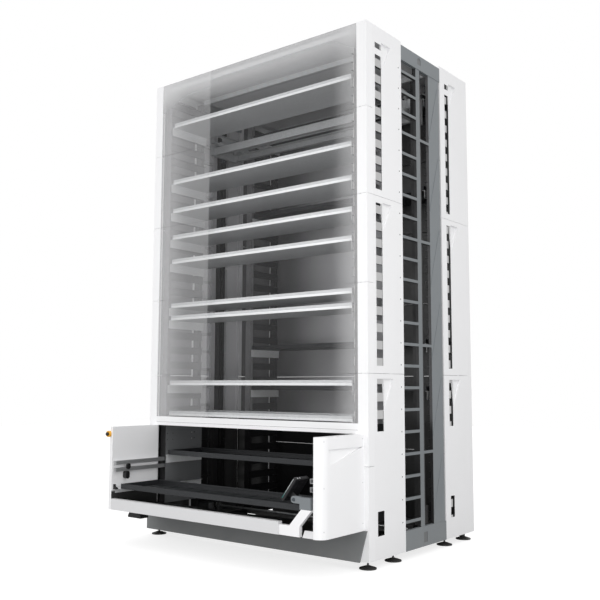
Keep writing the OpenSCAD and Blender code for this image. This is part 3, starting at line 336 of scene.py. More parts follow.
deep, p_in, p_out = new_group("deep shade", [("Color", COLOR, grey(0.5)), ("Amount", FLOAT, 0.9)],
                              [("Color", COLOR)])
at = coordinates(deep)
low_down = times(deep, calc(deep, "SUBTRACT", 1.0, ramp(deep, at["Z"], *SHADE_FADES)),
                 calc(deep, "LESS_THAN", at["X"], OPEN_SIDE_X),
                 calc(deep, "GREATER_THAN", at["Y"], shaft_y - SHAFT_MARGIN))
at_left = times(deep, calc(deep, "LESS_THAN", at["X"], LEFT_RACKS_X),
                calc(deep, "GREATER_THAN", at["Y"], rear_y + REAR_MARGIN))
share = times(deep, calc(deep, "MAXIMUM", low_down, at_left), p_in["Amount"])
feed(deep, p_out["Color"], mix(deep, share, p_in["Color"], DEEP_BLACK))
print("group", deep.name)

# %% [markdown]
# A painted finish is a colour that varies a little from place to place, a fine
# bump, and dust towards the floor. One function makes all of them, because
# they differ only in numbers, and `white` fills in what the white coats share.
# Constants such as the coat are set on the shader's own sockets. Where a finish
# is darker or lighter inside the body, that is painted shade and light: `inside`
# lists its tones low down, at the left, at the right and at the far right, then
# the half width within which they hold, and a one where faces that look inwards
# take them too. `shaded` and `shade_left` add the painted deep shade.

# %% Painted finishes
GRAIN_DEPTH = 0.0004
BLUE_OF_SHADE = 1.03
DUST_COLOR = (0.42, 0.41, 0.39, 1.0)
JUST_INSIDE, RECESS_DEPTH, PANEL_DEPTH = 0.0015, 0.027, 0.050


def less_lit(tree, color, inside, shaded, shade_left=False):
    if inside:
        *tones, half_width, inner_faces = inside
        inner_shade = add(tree, "ShaderNodeGroup", {"Color": color, "Half Width": half_width,
                                               "Inner Faces": inner_faces}, node_tree=inner)
        for label, tone in zip(("Low Color", "Left Color", "Right Color", "Far Color"), tones):
            inner_shade.inputs[label].default_value = (tone, tone, tone * BLUE_OF_SHADE, 1.0)
        if shade_left:
            left_color = inner_shade.inputs["Left Color"]
            gloom = add(tree, "ShaderNodeGroup", {"Color": left_color.default_value}, node_tree=deep)
            feed(tree, left_color, gloom.outputs["Color"])
        color = inner_shade.outputs["Color"]
    if shaded:
        color = add(tree, "ShaderNodeGroup", {"Color": color}, node_tree=deep).outputs["Color"]
    return color


def painted(name, color, rough, cloud=0.04, bump=0.25, scale=350.0, reach=0.6, amount=0.3, coat=0.0,
            inside=None, shaded=False, shade_left=False):
    material, tree, shader = new_material(name, rough)
    shader.inputs["Coat Weight"].default_value = coat
    shader.inputs["Coat Roughness"].default_value = 0.15
    texture = add(tree, "ShaderNodeGroup", {"Scale": scale}, node_tree=grain)
    darker = (*[c * (1 - cloud) for c in color], 1.0)
    lighter = (*[min(1.0, c * (1 + cloud)) for c in color], 1.0)
    dusty = add(tree, "ShaderNodeGroup",
                {"Color": mix(tree, texture.outputs["Cloud"], darker, lighter), "Dust Color": DUST_COLOR,
                 "Reach": reach, "Amount": amount, "Cloud": texture.outputs["Cloud"], "Roughness": rough},
                node_tree=dust)
    relief = add(tree, "ShaderNodeBump", {"Strength": bump, "Distance": GRAIN_DEPTH,
                                          "Height": texture.outputs["Height"]})
    feed(tree, shader.inputs["Base Color"],
         less_lit(tree, dusty.outputs["Color"], inside, shaded, shade_left))
    feed(tree, shader.inputs["Roughness"], dusty.outputs["Roughness"])
    feed(tree, shader.inputs["Normal"], relief.outputs["Normal"])
    return material


def white(name, tone=0.88, amount=0.12, **more):
    return painted(name, (tone, tone, tone + 0.01), 0.38, cloud=0.02, reach=0.5, amount=amount, **more)


# The inside tones and the shaded flags below paint light and shade on the faces within the body.
white_coat = white("white powder coat", inside=(0.008, 0.28, 0.38, 0.38, right_x - PANEL_DEPTH, 1.0))
side_coat = white("white powder coat of the rear sides", shade_left=True,
                  inside=(0.008, 0.60, 0.10, 0.10, right_x - RECESS_DEPTH - JUST_INSIDE, 1.0))
rear_coat = white("white powder coat of the rear", inside=(0.008, 0.12, 0.55, 0.02, right_x, 0.0))
cover_coat = white("white powder coat of the shaft covers",
                   inside=(0.008, 0.62, 0.50, 0.50, right_x - JUST_INSIDE, 0.0))
open_coat = white("white powder coat of the bay", 0.90, 0.08)
left_coat = white("white powder coat of the bay's left side", 0.90, 0.08)
sill_coat = white("white powder coat of the sill", 0.70, 0.08)
grey_coat = painted("grey powder coat", (0.195, 0.212, 0.224), 0.42, cloud=0.05, shaded=True)
ladder_coat = painted("grey powder coat of the ladders", (0.175, 0.190, 0.200), 0.42, cloud=0.05,
                      inside=(0.012, 0.450, 0.030, 0.030, ladder_x - JUST_INSIDE, 0.0))
column_coat = painted("grey powder coat of the wide columns", (0.195, 0.212, 0.224), 0.42, cloud=0.05,
                      inside=(0.020, 0.480, 0.150, 0.110, ladder_x - JUST_INSIDE, 0.0))
plate_coat = painted("plate grey", (0.150, 0.155, 0.160), 0.45, cloud=0.06, amount=0.1)
plinth_coat = painted("plinth grey", (0.185, 0.193, 0.198), 0.45, cloud=0.05)
dark_coat = painted("dark primer", (0.030, 0.032, 0.034), 0.55, cloud=0.10)
black_coat = painted("black paint", (0.010, 0.010, 0.011), 0.45, cloud=0.15, amount=0.15)
black_plastic = painted("black moulded plastic", (0.012, 0.012, 0.013), 0.35, cloud=0.1, bump=0.5,
                        scale=900.0, amount=0.05)
amber_plastic = painted("amber moulded plastic", (0.84, 0.42, 0.03), 0.30, cloud=0.03, coat=0.3, amount=0.0)
nylon = painted("cast nylon", (0.05, 0.06, 0.07), 0.45, cloud=0.06, amount=0.0)
rubber = painted("belt rubber", (0.010, 0.010, 0.010), 0.75, cloud=0.2, bump=0.6, scale=700.0, amount=0.0)
print("eighteen painted and moulded finishes")

# %% [markdown]
# The tray in the bay shades the wall beside it. The inner face of the bay's
# left side is dark below the tray, and the shade fades out at its underside.

# %% Shade under the tray in the bay
FADE_FROM, FADE_TO = 0.045, 0.015
SHADED_WALL = 0.04

tray_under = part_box("tray_in_bay")[0].z
bay_inner_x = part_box("bay_side_left")[1].x
tree = left_coat.node_tree
base_color = tree.nodes["Principled BSDF"].inputs["Base Color"]
coat_color = base_color.links[0].from_socket
at = coordinates(tree)
lit = calc(tree, "MAXIMUM", ramp(tree, at["Z"], tray_under - FADE_FROM, tray_under - FADE_TO),
           calc(tree, "LESS_THAN", at["X"], bay_inner_x - 0.001))
feed(tree, base_color, mix(tree, lit, grey(SHADED_WALL), coat_color))
print("inner face at", round(bay_inner_x, 3), "dark below", round(tray_under, 3))

# %% [markdown]
# A metal finish is a colour broken up by the spangle, with a faint bump.

# %% Metal finishes
SPANGLE_BUMP, SPANGLE_DEPTH = 0.1, 0.0003


def metal(name, color, rough, metallic, contrast, size=60.0, inside=None, shaded=False):
    material, tree, shader = new_material(name, rough)
    shader.inputs["Metallic"].default_value = metallic
    sheet = add(tree, "ShaderNodeGroup", {"Color": (*color, 1.0), "Scale": size, "Contrast": contrast},
                node_tree=spangle)
    relief = add(tree, "ShaderNodeBump", {"Strength": SPANGLE_BUMP, "Distance": SPANGLE_DEPTH,
                                          "Height": sheet.outputs["Height"]})
    feed(tree, shader.inputs["Base Color"], less_lit(tree, sheet.outputs["Color"], inside, shaded))
    feed(tree, shader.inputs["Normal"], relief.outputs["Normal"])
    return material


# shaded and the inside tones here paint shade on the sheet within the body.
galvanised = metal("galvanised sheet", (0.50, 0.51, 0.52), 0.42, 0.35, 0.15, shaded=True)
rack_sheet = metal("rack sheet", (0.86, 0.87, 0.88), 0.45, 0.1, 0.10,
                   inside=(0.02, 0.24, 0.30, 0.07, rack_x + 0.1, 0.0), shaded=True)
tray_sheet = metal("tray sheet", (0.58, 0.59, 0.60), 0.42, 0.30, 0.12)
# The tray fold sheet is a lighter copy of the tray sheet: a painted highlight on the folds of the trays in
# the light and on the tray supports.
fold_highlight_sheet = metal("tray fold with painted highlight", (0.80, 0.81, 0.82), 0.32, 0.2, 0.06)
# The shaded tray sheet is a dark copy of the tray sheet: painted shade on the trays in the rear column, the
# waiting tray and the tray in the bay.
shaded_tray_sheet = metal("shaded tray sheet", (0.034, 0.036, 0.039), 0.45, 0.3, 0.12)
frame_sheet = metal("top frame sheet", (0.78, 0.79, 0.80), 0.40, 0.15, 0.10)
bright_steel = metal("turned steel", (0.60, 0.61, 0.62), 0.28, 0.9, 0.1, size=400.0)
aluminium = metal("drawn aluminium", (0.66, 0.67, 0.68), 0.35, 0.8, 0.06, size=300.0)
print("eight metal finishes")

# %% [markdown]
# Daylight falls through the slots onto the outer faces of the rack rails, and
# in the photograph they are nearly as pale as the covers. A soft studio can't
# reach them through a slot that narrow, so those faces get a faint glow.

# %% Painted light on the rails behind the slots
LOOKS_OUTWARDS = 1.5
RAIL_GLOW = 0.48
REAR_SLOTS_FROM = 0.33

tree = rack_sheet.node_tree
shader = tree.nodes["Principled BSDF"]
at = coordinates(tree)
outer_faces = calc(tree, "GREATER_THAN", outward(tree, at), LOOKS_OUTWARDS)
behind_slots = calc(tree, "MAXIMUM", calc(tree, "LESS_THAN", at["Y"], shaft_y),
                    calc(tree, "GREATER_THAN", at["Y"], rear_y + REAR_SLOTS_FROM))
feed(tree, shader.inputs["Emission Color"], times(tree, outer_faces, behind_slots, RAIL_GLOW))
feed(tree, shader.inputs["Emission Strength"], 1.0)
print("outer faces of the rack rails glow faintly")

# %% [markdown]
# The front covers are clear sheets that show the trays behind them. Their haze
# is thin in the middle and grows towards both edges and towards the top. An
# alpha value that follows the place does this without any transmission, so the
# panels stay quick to render. Each line of the table is an axis, where the haze
# starts and where it is full, and how much it adds.

# %% Clear panels
CLEAREST, HAZIEST = 0.015, 0.80
HAZE = (("X", -0.72, -0.76, 0.10), ("X", -1.10, -1.70, 0.16), ("X", 1.30, 1.70, 0.18),
        ("Z", 5.95, 6.35, 0.30))

clear_sheet, tree, shader = new_material("clear sheet", 0.35, (0.86, 0.86, 0.87))
at = coordinates(tree)
haze = CLEAREST
for axis, start, end, amount in HAZE:
    haze = calc(tree, "ADD", times(tree, ramp(tree, at[axis], start, end), amount), haze)
feed(tree, shader.inputs["Alpha"], calc(tree, "MINIMUM", haze, HAZIEST))
print("clear sheet with haze in", len(HAZE), "steps")

# %% [markdown]
# Every CAD piece keeps its shape and gets one of these finishes. The material
# slot that the CAD file brought is replaced on the piece's own mesh.

# %% Finish of each CAD piece
FINISHES = {
    white_coat: ["side_panels_front", "front_beam"],
    side_coat: ["side_panels_rear"],
    rear_coat: ["rear_panels"],
    cover_coat: ["shaft_covers_left"],
    left_coat: ["bay_side_left"],
    open_coat: ["bay_side_right", "console_arm", "roof_panels", "corner_covers"],
    sill_coat: ["bay_sill"],
    grey_coat: ["shaft_end_panels", "console_box"],
    column_coat: ["wide_columns"],
    ladder_coat: ["shaft_ladders"],
    plinth_coat: ["plinth"],
    plate_coat: ["access_side_plates"],
    dark_coat: ["base_frame", "bearing_housings"],
    black_coat: ["levelling_feet", "guide_columns", "gearmotor", "bay_floor"],
    frame_sheet: ["top_frame"],
    galvanised: ["carriage_sides", "carriage_beams", "carriage_rails", "extractor_tracks"],
    rack_sheet: ["rack_sides"],
    fold_highlight_sheet: ["tray_supports"],
    bright_steel: ["drive_shaft", "extractor_bars", "extractor_shaft", "belt_clamps"],
    aluminium: ["top_pulleys", "drive_pulleys", "bay_guide_rails"],
    nylon: ["guide_shoes"],
    rubber: ["lift_belts"],
    black_plastic: ["bay_sensors", "console", "estop_button", "under_bay_housing"],
    amber_plastic: ["estop_collar"],
    clear_sheet: ["front_panels"],
    tray_sheet: [f"tray_front_{k}" for k in range(1, 10)],
    shaded_tray_sheet: [f"tray_rear_{k}" for k in range(1, 5)] + ["tray_waiting", "tray_in_bay"],
}
dressed = 0
for finish, names in FINISHES.items():
    for name in names:
        mesh = nodes[name].data
        mesh.materials.clear()
        mesh.materials.append(finish)
        dressed += 1
print(dressed, "of", len(nodes), "CAD pieces dressed")

# %% [markdown]
# Two kinds of new piece follow. Some are built here from a profile, such as
# the screen's casing. Others are one small shape repeated many times, such as
# rivets and belt teeth, and for those a Geometry Nodes tree puts the shape on
# a cloud of points. Each piece is then made plain and rides on its body.

# %% Helpers for pieces
X, Y, Z = 0, 1, 2


def settle(obj, body, slot_name, *stands_for):
    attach(obj, body)
    if stands_for:
        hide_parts(*stands_for)
    return obj


def from_bmesh(name, shape, material):
    bmesh.ops.recalc_face_normals(shape, faces=shape.faces)
    mesh = bpy.data.meshes.new(name)
    shape.to_mesh(mesh)
    shape.free()
    mesh.materials.append(material)
    obj = bpy.data.objects.new(name, mesh)
    scene.collection.objects.link(obj)
    return obj


def spot_on(axis, along, u, v):
    """A point from its place along one axis and its places along the other two, in order."""
    spot = [u, v]
    spot.insert(axis, along)
    return spot


def prism(shape, points, axis, start, end, bevel=0.0, steps=2):
    """Adds a closed profile, given in the two axes that are left, run along one axis."""
    ring = [shape.verts.new(spot_on(axis, start, u, v)) for u, v in points]
    made = bmesh.ops.extrude_face_region(shape, geom=[shape.faces.new(ring)])
    far = [item for item in made["geom"] if isinstance(item, bmesh.types.BMVert)]
    bmesh.ops.translate(shape, verts=far, vec=spot_on(axis, end - start, 0.0, 0.0))
    if bevel:
        own = set(ring) | set(far)
        edges = [edge for edge in shape.edges if edge.verts[0] in own and edge.verts[1] in own]
        bmesh.ops.bevel(shape, geom=edges, offset=bevel, segments=steps, profile=0.5, affect="EDGES",
                        clamp_overlap=True)


def rect(low_u, low_v, high_u, high_v):
    return [(low_u, low_v), (high_u, low_v), (high_u, high_v), (low_u, high_v)]


def turned(shape, stations, centre, axis, sides):
    """Adds a turned part: (distance along the axis, radius) pairs around an axis."""
    mid_u, mid_v = [centre[k] for k in range(3) if k != axis]
    angles = [2 * math.pi * k / sides for k in range(sides)]
    rings = [[shape.verts.new(spot_on(axis, centre[axis] + along, mid_u + radius * math.cos(angle),
                                      mid_v + radius * math.sin(angle))) for angle in angles]
             for along, radius in stations]
    for one, two in zip(rings, rings[1:]):
        for k in range(sides):
            shape.faces.new((one[k], one[(k + 1) % sides], two[(k + 1) % sides], two[k]))
    shape.faces.new(rings[0])
    shape.faces.new(rings[-1])


print("helpers for pieces ready")


# %% Geometry Nodes: small heads on points
def geometry_tree(name, inputs):
    first, last = ("Geometry", "NodeSocketGeometry", None), ("Material", "NodeSocketMaterial", None)
    tree, entry, leave = new_group(name, [first, *inputs, last], [("Geometry", "NodeSocketGeometry")],
                                   kind="GeometryNodeTree")
    real = add(tree, "GeometryNodeRealizeInstances")
    paint = add(tree, "GeometryNodeSetMaterial", {"Geometry": real.outputs[0], "Material": entry["Material"]})
    feed(tree, leave[0], paint.outputs[0])
    return tree, entry, real.inputs["Geometry"]


HEAD_TAPER = 0.55

heads, entry, realized = geometry_tree(
    "heads on points",
    [("Facing", "NodeSocketVector", (1.0, 0.0, 0.0)), ("Radius", FLOAT, 0.006), ("Height", FLOAT, 0.003),
     ("Sides", "NodeSocketInt", 10)])
head = add(heads, "GeometryNodeMeshCone",
           {"Vertices": entry["Sides"], "Side Segments": 1, "Fill Segments": 1, "Depth": entry["Height"],
            "Radius Bottom": entry["Radius"], "Radius Top": times(heads, entry["Radius"], HEAD_TAPER)})
turn_to = add(heads, "FunctionNodeAlignRotationToVector", {"Vector": entry["Facing"]}, axis="Z")
put = add(heads, "GeometryNodeInstanceOnPoints",
          {"Points": entry["Geometry"], "Instance": head.outputs["Mesh"],
           "Rotation": turn_to.outputs["Rotation"]})
feed(heads, realized, put.outputs["Instances"])
print("tree", heads.name)

# %% Geometry Nodes: rows of blocks
rows, entry, realized = geometry_tree(
    "rows of blocks",
    [("Size", "NodeSocketVector", (0.01, 0.01, 0.01)), ("Step", "NodeSocketVector", (0.0, 0.0, 0.01)),
     ("Count", "NodeSocketInt", 10)])
block = add(rows, "GeometryNodeMeshCube", {"Size": entry["Size"]})
line = add(rows, "GeometryNodeMeshLine", {"Count": entry["Count"], "Offset": entry["Step"]})
along = add(rows, "GeometryNodeInstanceOnPoints",
            {"Points": line.outputs["Mesh"], "Instance": block.outputs["Mesh"]})
start = add(rows, "GeometryNodeInstanceOnPoints",
            {"Points": entry["Geometry"], "Instance": along.outputs["Instances"]})
feed(rows, realized, start.outputs["Instances"])
print("tree", rows.name)


# %% [markdown]
# The tree's inputs are set by their socket identifiers before Blender
# evaluates the modifier. The evaluated result becomes a plain mesh, and the
# object with the modifier is thrown away.

# %% From points to a plain piece
def scatter(name, points, tree, material, **values):
    cloud = bpy.data.meshes.new(name + "_points")
    cloud.from_pydata([tuple(point) for point in points], [], [])
    source = bpy.data.objects.new(name + "_points", cloud)
    scene.collection.objects.link(source)
    modifier = source.modifiers.new("nodes", "NODES")
    modifier.node_group = tree
    sockets = {item.name: item.identifier for item in tree.interface.items_tree if item.in_out == "INPUT"}
    modifier[sockets["Material"]] = material
    for label, value in values.items():
        modifier[sockets[label]] = value
    source.update_tag()
    graph = bpy.context.evaluated_depsgraph_get()
    mesh = bpy.data.meshes.new_from_object(source.evaluated_get(graph))
    mesh.name = name
    bpy.data.objects.remove(source)
    obj = bpy.data.objects.new(name, mesh)
    scene.collection.objects.link(obj)
    return obj


print("points become plain pieces")

# %% Rivets along the front side panels
RIVET_STEP, FIRST_RIVET, RIVET_COUNT = 0.266, 0.349, 23
RIVET_INSET, TOP_MARGIN = 0.066, 0.1

levels = [panel_low + FIRST_RIVET + RIVET_STEP * k for k in range(RIVET_COUNT)]
for side, facing, tag in ((right_x, 1.0, "right"), (left_x, -1.0, "left")):
    points = [(side, shaft_y - RIVET_INSET, z) for z in levels if z < body_top - TOP_MARGIN]
    rivets = scatter(f"panel_rivets_{tag}", points, heads, dark_coat, Facing=(facing, 0.0, 0.0), Radius=0.009,
                     Height=0.002, Sides=8)
    settle(rivets, "root", "dark_steel")
    print(rivets.name, len(points), "heads", len(rivets.data.polygons), "faces")

# %% Screws of the bay
SCREW_INSET, LOWEST_SCREW, HIGHEST_SCREW = 0.030, 0.085, 0.045

side_low, side_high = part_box("bay_side_right")
levels = [side_low.z + LOWEST_SCREW, (side_low.z + side_high.z) / 2, side_high.z - HIGHEST_SCREW]
for side, facing, tag in ((side_high.x, 1.0, "right"), (-side_high.x, -1.0, "left")):
    points = [(side, y, z) for y in (side_low.y + SCREW_INSET, side_high.y - SCREW_INSET) for z in levels]
    screws = scatter(f"bay_screws_{tag}", points, heads, galvanised, Facing=(facing, 0.0, 0.0), Radius=0.006,
                     Height=0.0025, Sides=8)
    settle(screws, "root", "galvanised")
    print(screws.name, len(points), "heads")

# %% Plates behind the openings of the shaft's ends
PLATE_WIDTH, PLATE_OUT, PLATE_IN = 0.140, 0.0040, 0.0075
PLATES = ((shaft_y + 0.385, 6.210, 6.340), (shaft_y + 0.405, 0.120, 0.290))

shape = bmesh.new()
end_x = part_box("shaft_end_panels")[1].x
for side in (-1, 1):
    for y_from, z_from, z_to in PLATES:
        prism(shape, rect(y_from, z_from, y_from + PLATE_WIDTH, z_to), X, side * (end_x - PLATE_IN),
              side * (end_x - PLATE_OUT))
settle(from_bmesh("opening_plates", shape, plate_coat), "root", "dark_steel")
print(2 * len(PLATES), "plates inside", round(end_x, 3))

# %% [markdown]
# No daylight shows under the bay's tray. A plain black skirt between the rear
# panels and the floor puts a dark sheet there for that shade.

# %% Dark skirt under the rear panels, put there for shade
SKIRT_INSET, SKIRT_CLEARANCE, SKIRT_OVERLAP = 0.080, 0.012, 0.030
SKIRT_THICK, SKIRT_LIP = 0.003, 0.020

base_low, base_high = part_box("base_frame")
face_y, top_z = base_high.y, base_low.z + SKIRT_OVERLAP
shape = bmesh.new()
prism(shape, [(face_y - SKIRT_THICK, SKIRT_CLEARANCE), (face_y, SKIRT_CLEARANCE), (face_y, top_z),
              (face_y - SKIRT_LIP, top_z), (face_y - SKIRT_LIP, top_z - SKIRT_THICK),
              (face_y - SKIRT_THICK, top_z - SKIRT_THICK)], X, base_low.x + SKIRT_INSET,
      base_high.x - SKIRT_INSET)
settle(from_bmesh("rear_shade_skirt", shape, black_coat), "root", "black_steel")
print("skirt from", round(base_low.x + SKIRT_INSET, 3), "to", round(base_high.x - SKIRT_INSET, 3))

# %% [markdown]
# A black stop stands at the front left corner of the tray in the bay, on the
# side of the bay. It is an angle with a rounded pad.

# %% Tray stop in the bay
STOP_X, STOP_Y, STOP_Z = -1.660, -1.632, 0.698
STOP_WIDTH = 0.036
STOP_PROFILE = ((0.0, 0.0), (0.062, 0.0), (0.062, 0.018), (0.022, 0.026), (0.010, 0.062), (0.0, 0.062))
PAD_STATIONS = ((0.0, 0.012), (0.004, 0.014), (0.010, 0.014), (0.012, 0.010))

shape = bmesh.new()
prism(shape, [(STOP_X + u, STOP_Z + v) for u, v in STOP_PROFILE], Y, STOP_Y, STOP_Y + STOP_WIDTH, 0.002)
turned(shape, PAD_STATIONS, (STOP_X + 0.042, STOP_Y + STOP_WIDTH / 2, STOP_Z + 0.016), Z, 20)
settle(from_bmesh("bay_tray_stop", shape, black_plastic), "root", "black_plastic")
print("tray stop at", STOP_X, STOP_Y, STOP_Z)

# %% [markdown]
# The lift belts carry teeth on their inner face, along both straight runs
# between the wheels.

# %% Teeth of the lift belts
TOOTH_PITCH, TOOTH_SIZE = 0.010, (0.036, 0.0016, 0.005)
TOOTH_DEPTH, HALF_BELT_WIDTH = 0.0056, 0.020
WHEEL_GAP = 0.012

belt_low, belt_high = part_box("lift_belts")
belt_y = (belt_low.y + belt_high.y) / 2
half_loop = (belt_high.y - belt_low.y) / 2 - TOOTH_DEPTH
run_from, run_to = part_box("drive_pulleys")[1].z + WHEEL_GAP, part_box("top_pulleys")[0].z - WHEEL_GAP
starts = [(side * (belt_high.x - HALF_BELT_WIDTH), belt_y + run * half_loop, run_from)
          for side in (-1, 1) for run in (-1, 1)]
teeth = scatter("belt_teeth", starts, rows, rubber, Size=TOOTH_SIZE, Step=(0.0, 0.0, TOOTH_PITCH),
                Count=int((run_to - run_from) / TOOTH_PITCH))
settle(teeth, "root", "belt_rubber")
print("belt teeth", len(teeth.data.polygons), "faces, between", round(run_from, 2), "and", round(run_to, 2))

# %% [markdown]
# Every tray is a folded pan. Its floor has pressed beads that run from front
# to back, its front wall has a hem along the top and a fold below, painted
# bright as a highlight on the trays in the light, and the corners are closed
# with small rivets. All fifteen trays take the same two trees.

# %% Beads, hems and rivets of the trays
SHADED_TRAYS = ("tray_waiting", "tray_in_bay")
BEAD_COUNT, BEAD_MARGIN, BEAD_SIZE, BEAD_LEVEL = 11, 0.15, (0.030, 0.54, 0.004), 0.0045
HEM_OUT, HEM_IN, HEM_TALL, HEM_DROP = 0.0145, 0.0175, 0.016, 0.001
FOLD_OUT, FOLD_IN, FOLD_LOW, FOLD_HIGH = 0.0012, 0.001, 0.001, 0.029
HEM_END, FOLD_END, RIVET_END, RIVET_LEVELS = 0.004, 0.002, 0.02, (0.018, 0.046)

tray_names = [name for name in nodes if name.startswith("tray_") and name != "tray_supports"]
for name in tray_names:
    tray_low, tray_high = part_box(name)
    body = name + "_body"
    shown = nodes[name].data.materials[0]
    bead_step = (tray_high.x - tray_low.x - 2 * BEAD_MARGIN) / (BEAD_COUNT - 1)
    first_bead = (tray_low.x + BEAD_MARGIN, (tray_low.y + tray_high.y) / 2, tray_low.z + BEAD_LEVEL)
    settle(scatter(name + "_beads", [first_bead], rows, shown, Size=BEAD_SIZE, Step=(bead_step, 0.0, 0.0),
                   Count=BEAD_COUNT), body, "galvanised")
    shape = bmesh.new()
    for y_edge, inward in ((tray_low.y, 1), (tray_high.y, -1)):
        prism(shape, rect(y_edge + inward * HEM_OUT, tray_high.z - HEM_TALL, y_edge + inward * HEM_IN,
                          tray_high.z - HEM_DROP), X, tray_low.x + HEM_END, tray_high.x - HEM_END)
    settle(from_bmesh(name + "_hem", shape, shown), body, "galvanised")
    shape = bmesh.new()
    prism(shape, rect(tray_low.y - FOLD_OUT, tray_low.z + FOLD_LOW, tray_low.y + FOLD_IN,
                      tray_low.z + FOLD_HIGH), X, tray_low.x + FOLD_END, tray_high.x - FOLD_END)
    # Trays in painted shade keep their dark copy on the fold; the others take the painted highlight.
    dark = "rear" in name or name in SHADED_TRAYS
    settle(from_bmesh(name + "_fold", shape, shown if dark else fold_highlight_sheet), body, "galvanised")
    points = [(x, tray_low.y, tray_low.z + up) for x in (tray_low.x + RIVET_END, tray_high.x - RIVET_END)
              for up in RIVET_LEVELS]
    settle(scatter(name + "_rivets", points, heads, shown, Facing=(0.0, -1.0, 0.0), Radius=0.006,
                   Height=0.003, Sides=10), body, "galvanised")
print(len(tray_names), "trays dressed")

# %% [markdown]
# The console is a flat screen on a hinge at the right of the bay. Its casing
# is a rounded slab that leans back, with a dark glass face let into it, a soft
# key row under the glass, two indicator lamps on its top edge, a teal strip
# along its front edge that is a painted glint, and an ear, a hub and a knob on
# the hinge pin. It is built upright at the pivot and then turned by the angle
# that the CAD console has.

# %% Casing and glass of the console
LEAN = math.radians(53.0)
PIVOT = Vector((1.385, 0.0, 0.830))
SCREEN_WIDTH, SCREEN_TALL, BELOW_PIVOT = 0.230, 0.305, 0.107
BACK_OFF, CASING_THICK = 0.090, 0.046
CASING_ROUND, RIDGE_MARGIN = 0.007, 0.003
VENT_COUNT, FIRST_VENT, VENT_STEP, VENT_WIDTH, VENT_MARGIN = 7, 0.05, 0.022, 0.009, 0.05
GLASS_FOOT, GLASS_MARGIN = 0.050, 0.014

console_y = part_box("console")[0].y
foot, crown = -BELOW_PIVOT, SCREEN_TALL - BELOW_PIVOT
front = BACK_OFF + CASING_THICK
far_y = console_y + SCREEN_WIDTH


def on_console(name, shape, material, slot_name, *stands_for, leaning=True):
    if leaning:
        bmesh.ops.rotate(shape, verts=shape.verts, cent=(0, 0, 0), matrix=Matrix.Rotation(-LEAN, 3, "Y"))
        bmesh.ops.translate(shape, verts=shape.verts, vec=PIVOT)
    return settle(from_bmesh(name, shape, material), "console_screen", slot_name, *stands_for)


shape = bmesh.new()
prism(shape, rect(foot, BACK_OFF, crown, front - 0.004), Y, console_y + 0.0005, far_y - 0.0005,
      CASING_ROUND, 3)
prism(shape, rect(foot + RIDGE_MARGIN, front - 0.006, crown - RIDGE_MARGIN, front - 0.001), Y,
      console_y + RIDGE_MARGIN, far_y - RIDGE_MARGIN, 0.0015, 1)
for k in range(VENT_COUNT):
    vent = FIRST_VENT + VENT_STEP * k
    prism(shape, rect(vent, BACK_OFF - 0.003, vent + VENT_WIDTH, BACK_OFF + 0.004), Y,
          console_y + VENT_MARGIN, far_y - VENT_MARGIN, 0.0015, 1)
on_console("console_casing", shape, black_plastic, "black_plastic", "console")
shape = bmesh.new()
prism(shape, rect(foot + GLASS_FOOT, front - 0.002, crown - GLASS_MARGIN, front), Y,
      console_y + GLASS_MARGIN, far_y - GLASS_MARGIN, 0.0008, 1)
on_console("console_glass", shape, black_plastic, "clear_panel")
print("console casing and glass from", round(console_y, 3), "to", round(far_y, 3))

# %% Keys, lamps and hinge of the console
KEY_COUNT, FIRST_KEY, KEY_STEP, KEY_WIDTH = 5, 0.030, 0.036, 0.026
LAMPS_AT, LAMPS_OFF = (0.040, 0.080), 0.020
LAMP_STATIONS = ((0.0, 0.0095), (0.003, 0.0095), (0.006, 0.006), (0.007, 0.001))
HUB_STATIONS = ((0.0, 0.036), (0.0015, 0.038), (0.0125, 0.038), (0.014, 0.036))
KNOB_STATIONS = ((0.0, 0.012), (0.002, 0.017), (0.008, 0.019), (0.010, 0.019))
PIN_STATIONS, PIN_PLACE = ((0.0, 0.0125), (0.055, 0.0125)), 0.008
EAR_PLACE, EAR_THICK, EAR_HALF_WIDTH = 0.053, 0.014, 0.034

shape = bmesh.new()
for k in range(KEY_COUNT):
    key_y = console_y + FIRST_KEY + KEY_STEP * k
    prism(shape, rect(foot + 0.015, front - 0.003, foot + 0.037, front + 0.0005), Y, key_y,
          key_y + KEY_WIDTH, 0.001, 1)
on_console("console_keys", shape, nylon, "nylon")
shape = bmesh.new()
for lamp_y in LAMPS_AT:
    turned(shape, LAMP_STATIONS, (crown - 0.001, console_y + lamp_y, BACK_OFF + LAMPS_OFF), X, 20)
on_console("console_lamps", shape, aluminium, "aluminium")
ear_y = console_y + EAR_PLACE
shape = bmesh.new()
turned(shape, HUB_STATIONS, (PIVOT.x, ear_y, PIVOT.z), Y, 48)
turned(shape, PIN_STATIONS, (PIVOT.x, console_y + PIN_PLACE, PIVOT.z), Y, 32)
on_console("console_hub", shape, black_plastic, "black_plastic", leaning=False)
shape = bmesh.new()
prism(shape, rect(-EAR_HALF_WIDTH, 0.0, EAR_HALF_WIDTH, BACK_OFF + 0.002), Y, ear_y, ear_y + EAR_THICK,
      0.002, 1)
on_console("console_ear", shape, black_plastic, "black_plastic")
shape = bmesh.new()
turned(shape, KNOB_STATIONS, (PIVOT.x, console_y, PIVOT.z), Y, 40)
on_console("console_knob", shape, nylon, "nylon", leaning=False)
print("keys, lamps, hub, ear and knob at the pivot", [round(v, 3) for v in PIVOT])

# %% Painted glint along the console's edge
GLINT_DARK, GLINT_PALE = (0.02, 0.20, 0.18, 1.0), (0.55, 0.58, 0.58, 1.0)
PALER_FROM, PALER_TO = 0.84, 0.96
STRIP_MARGIN, STRIP_BACK, STRIP_FRONT = 0.020, 0.013, 0.007

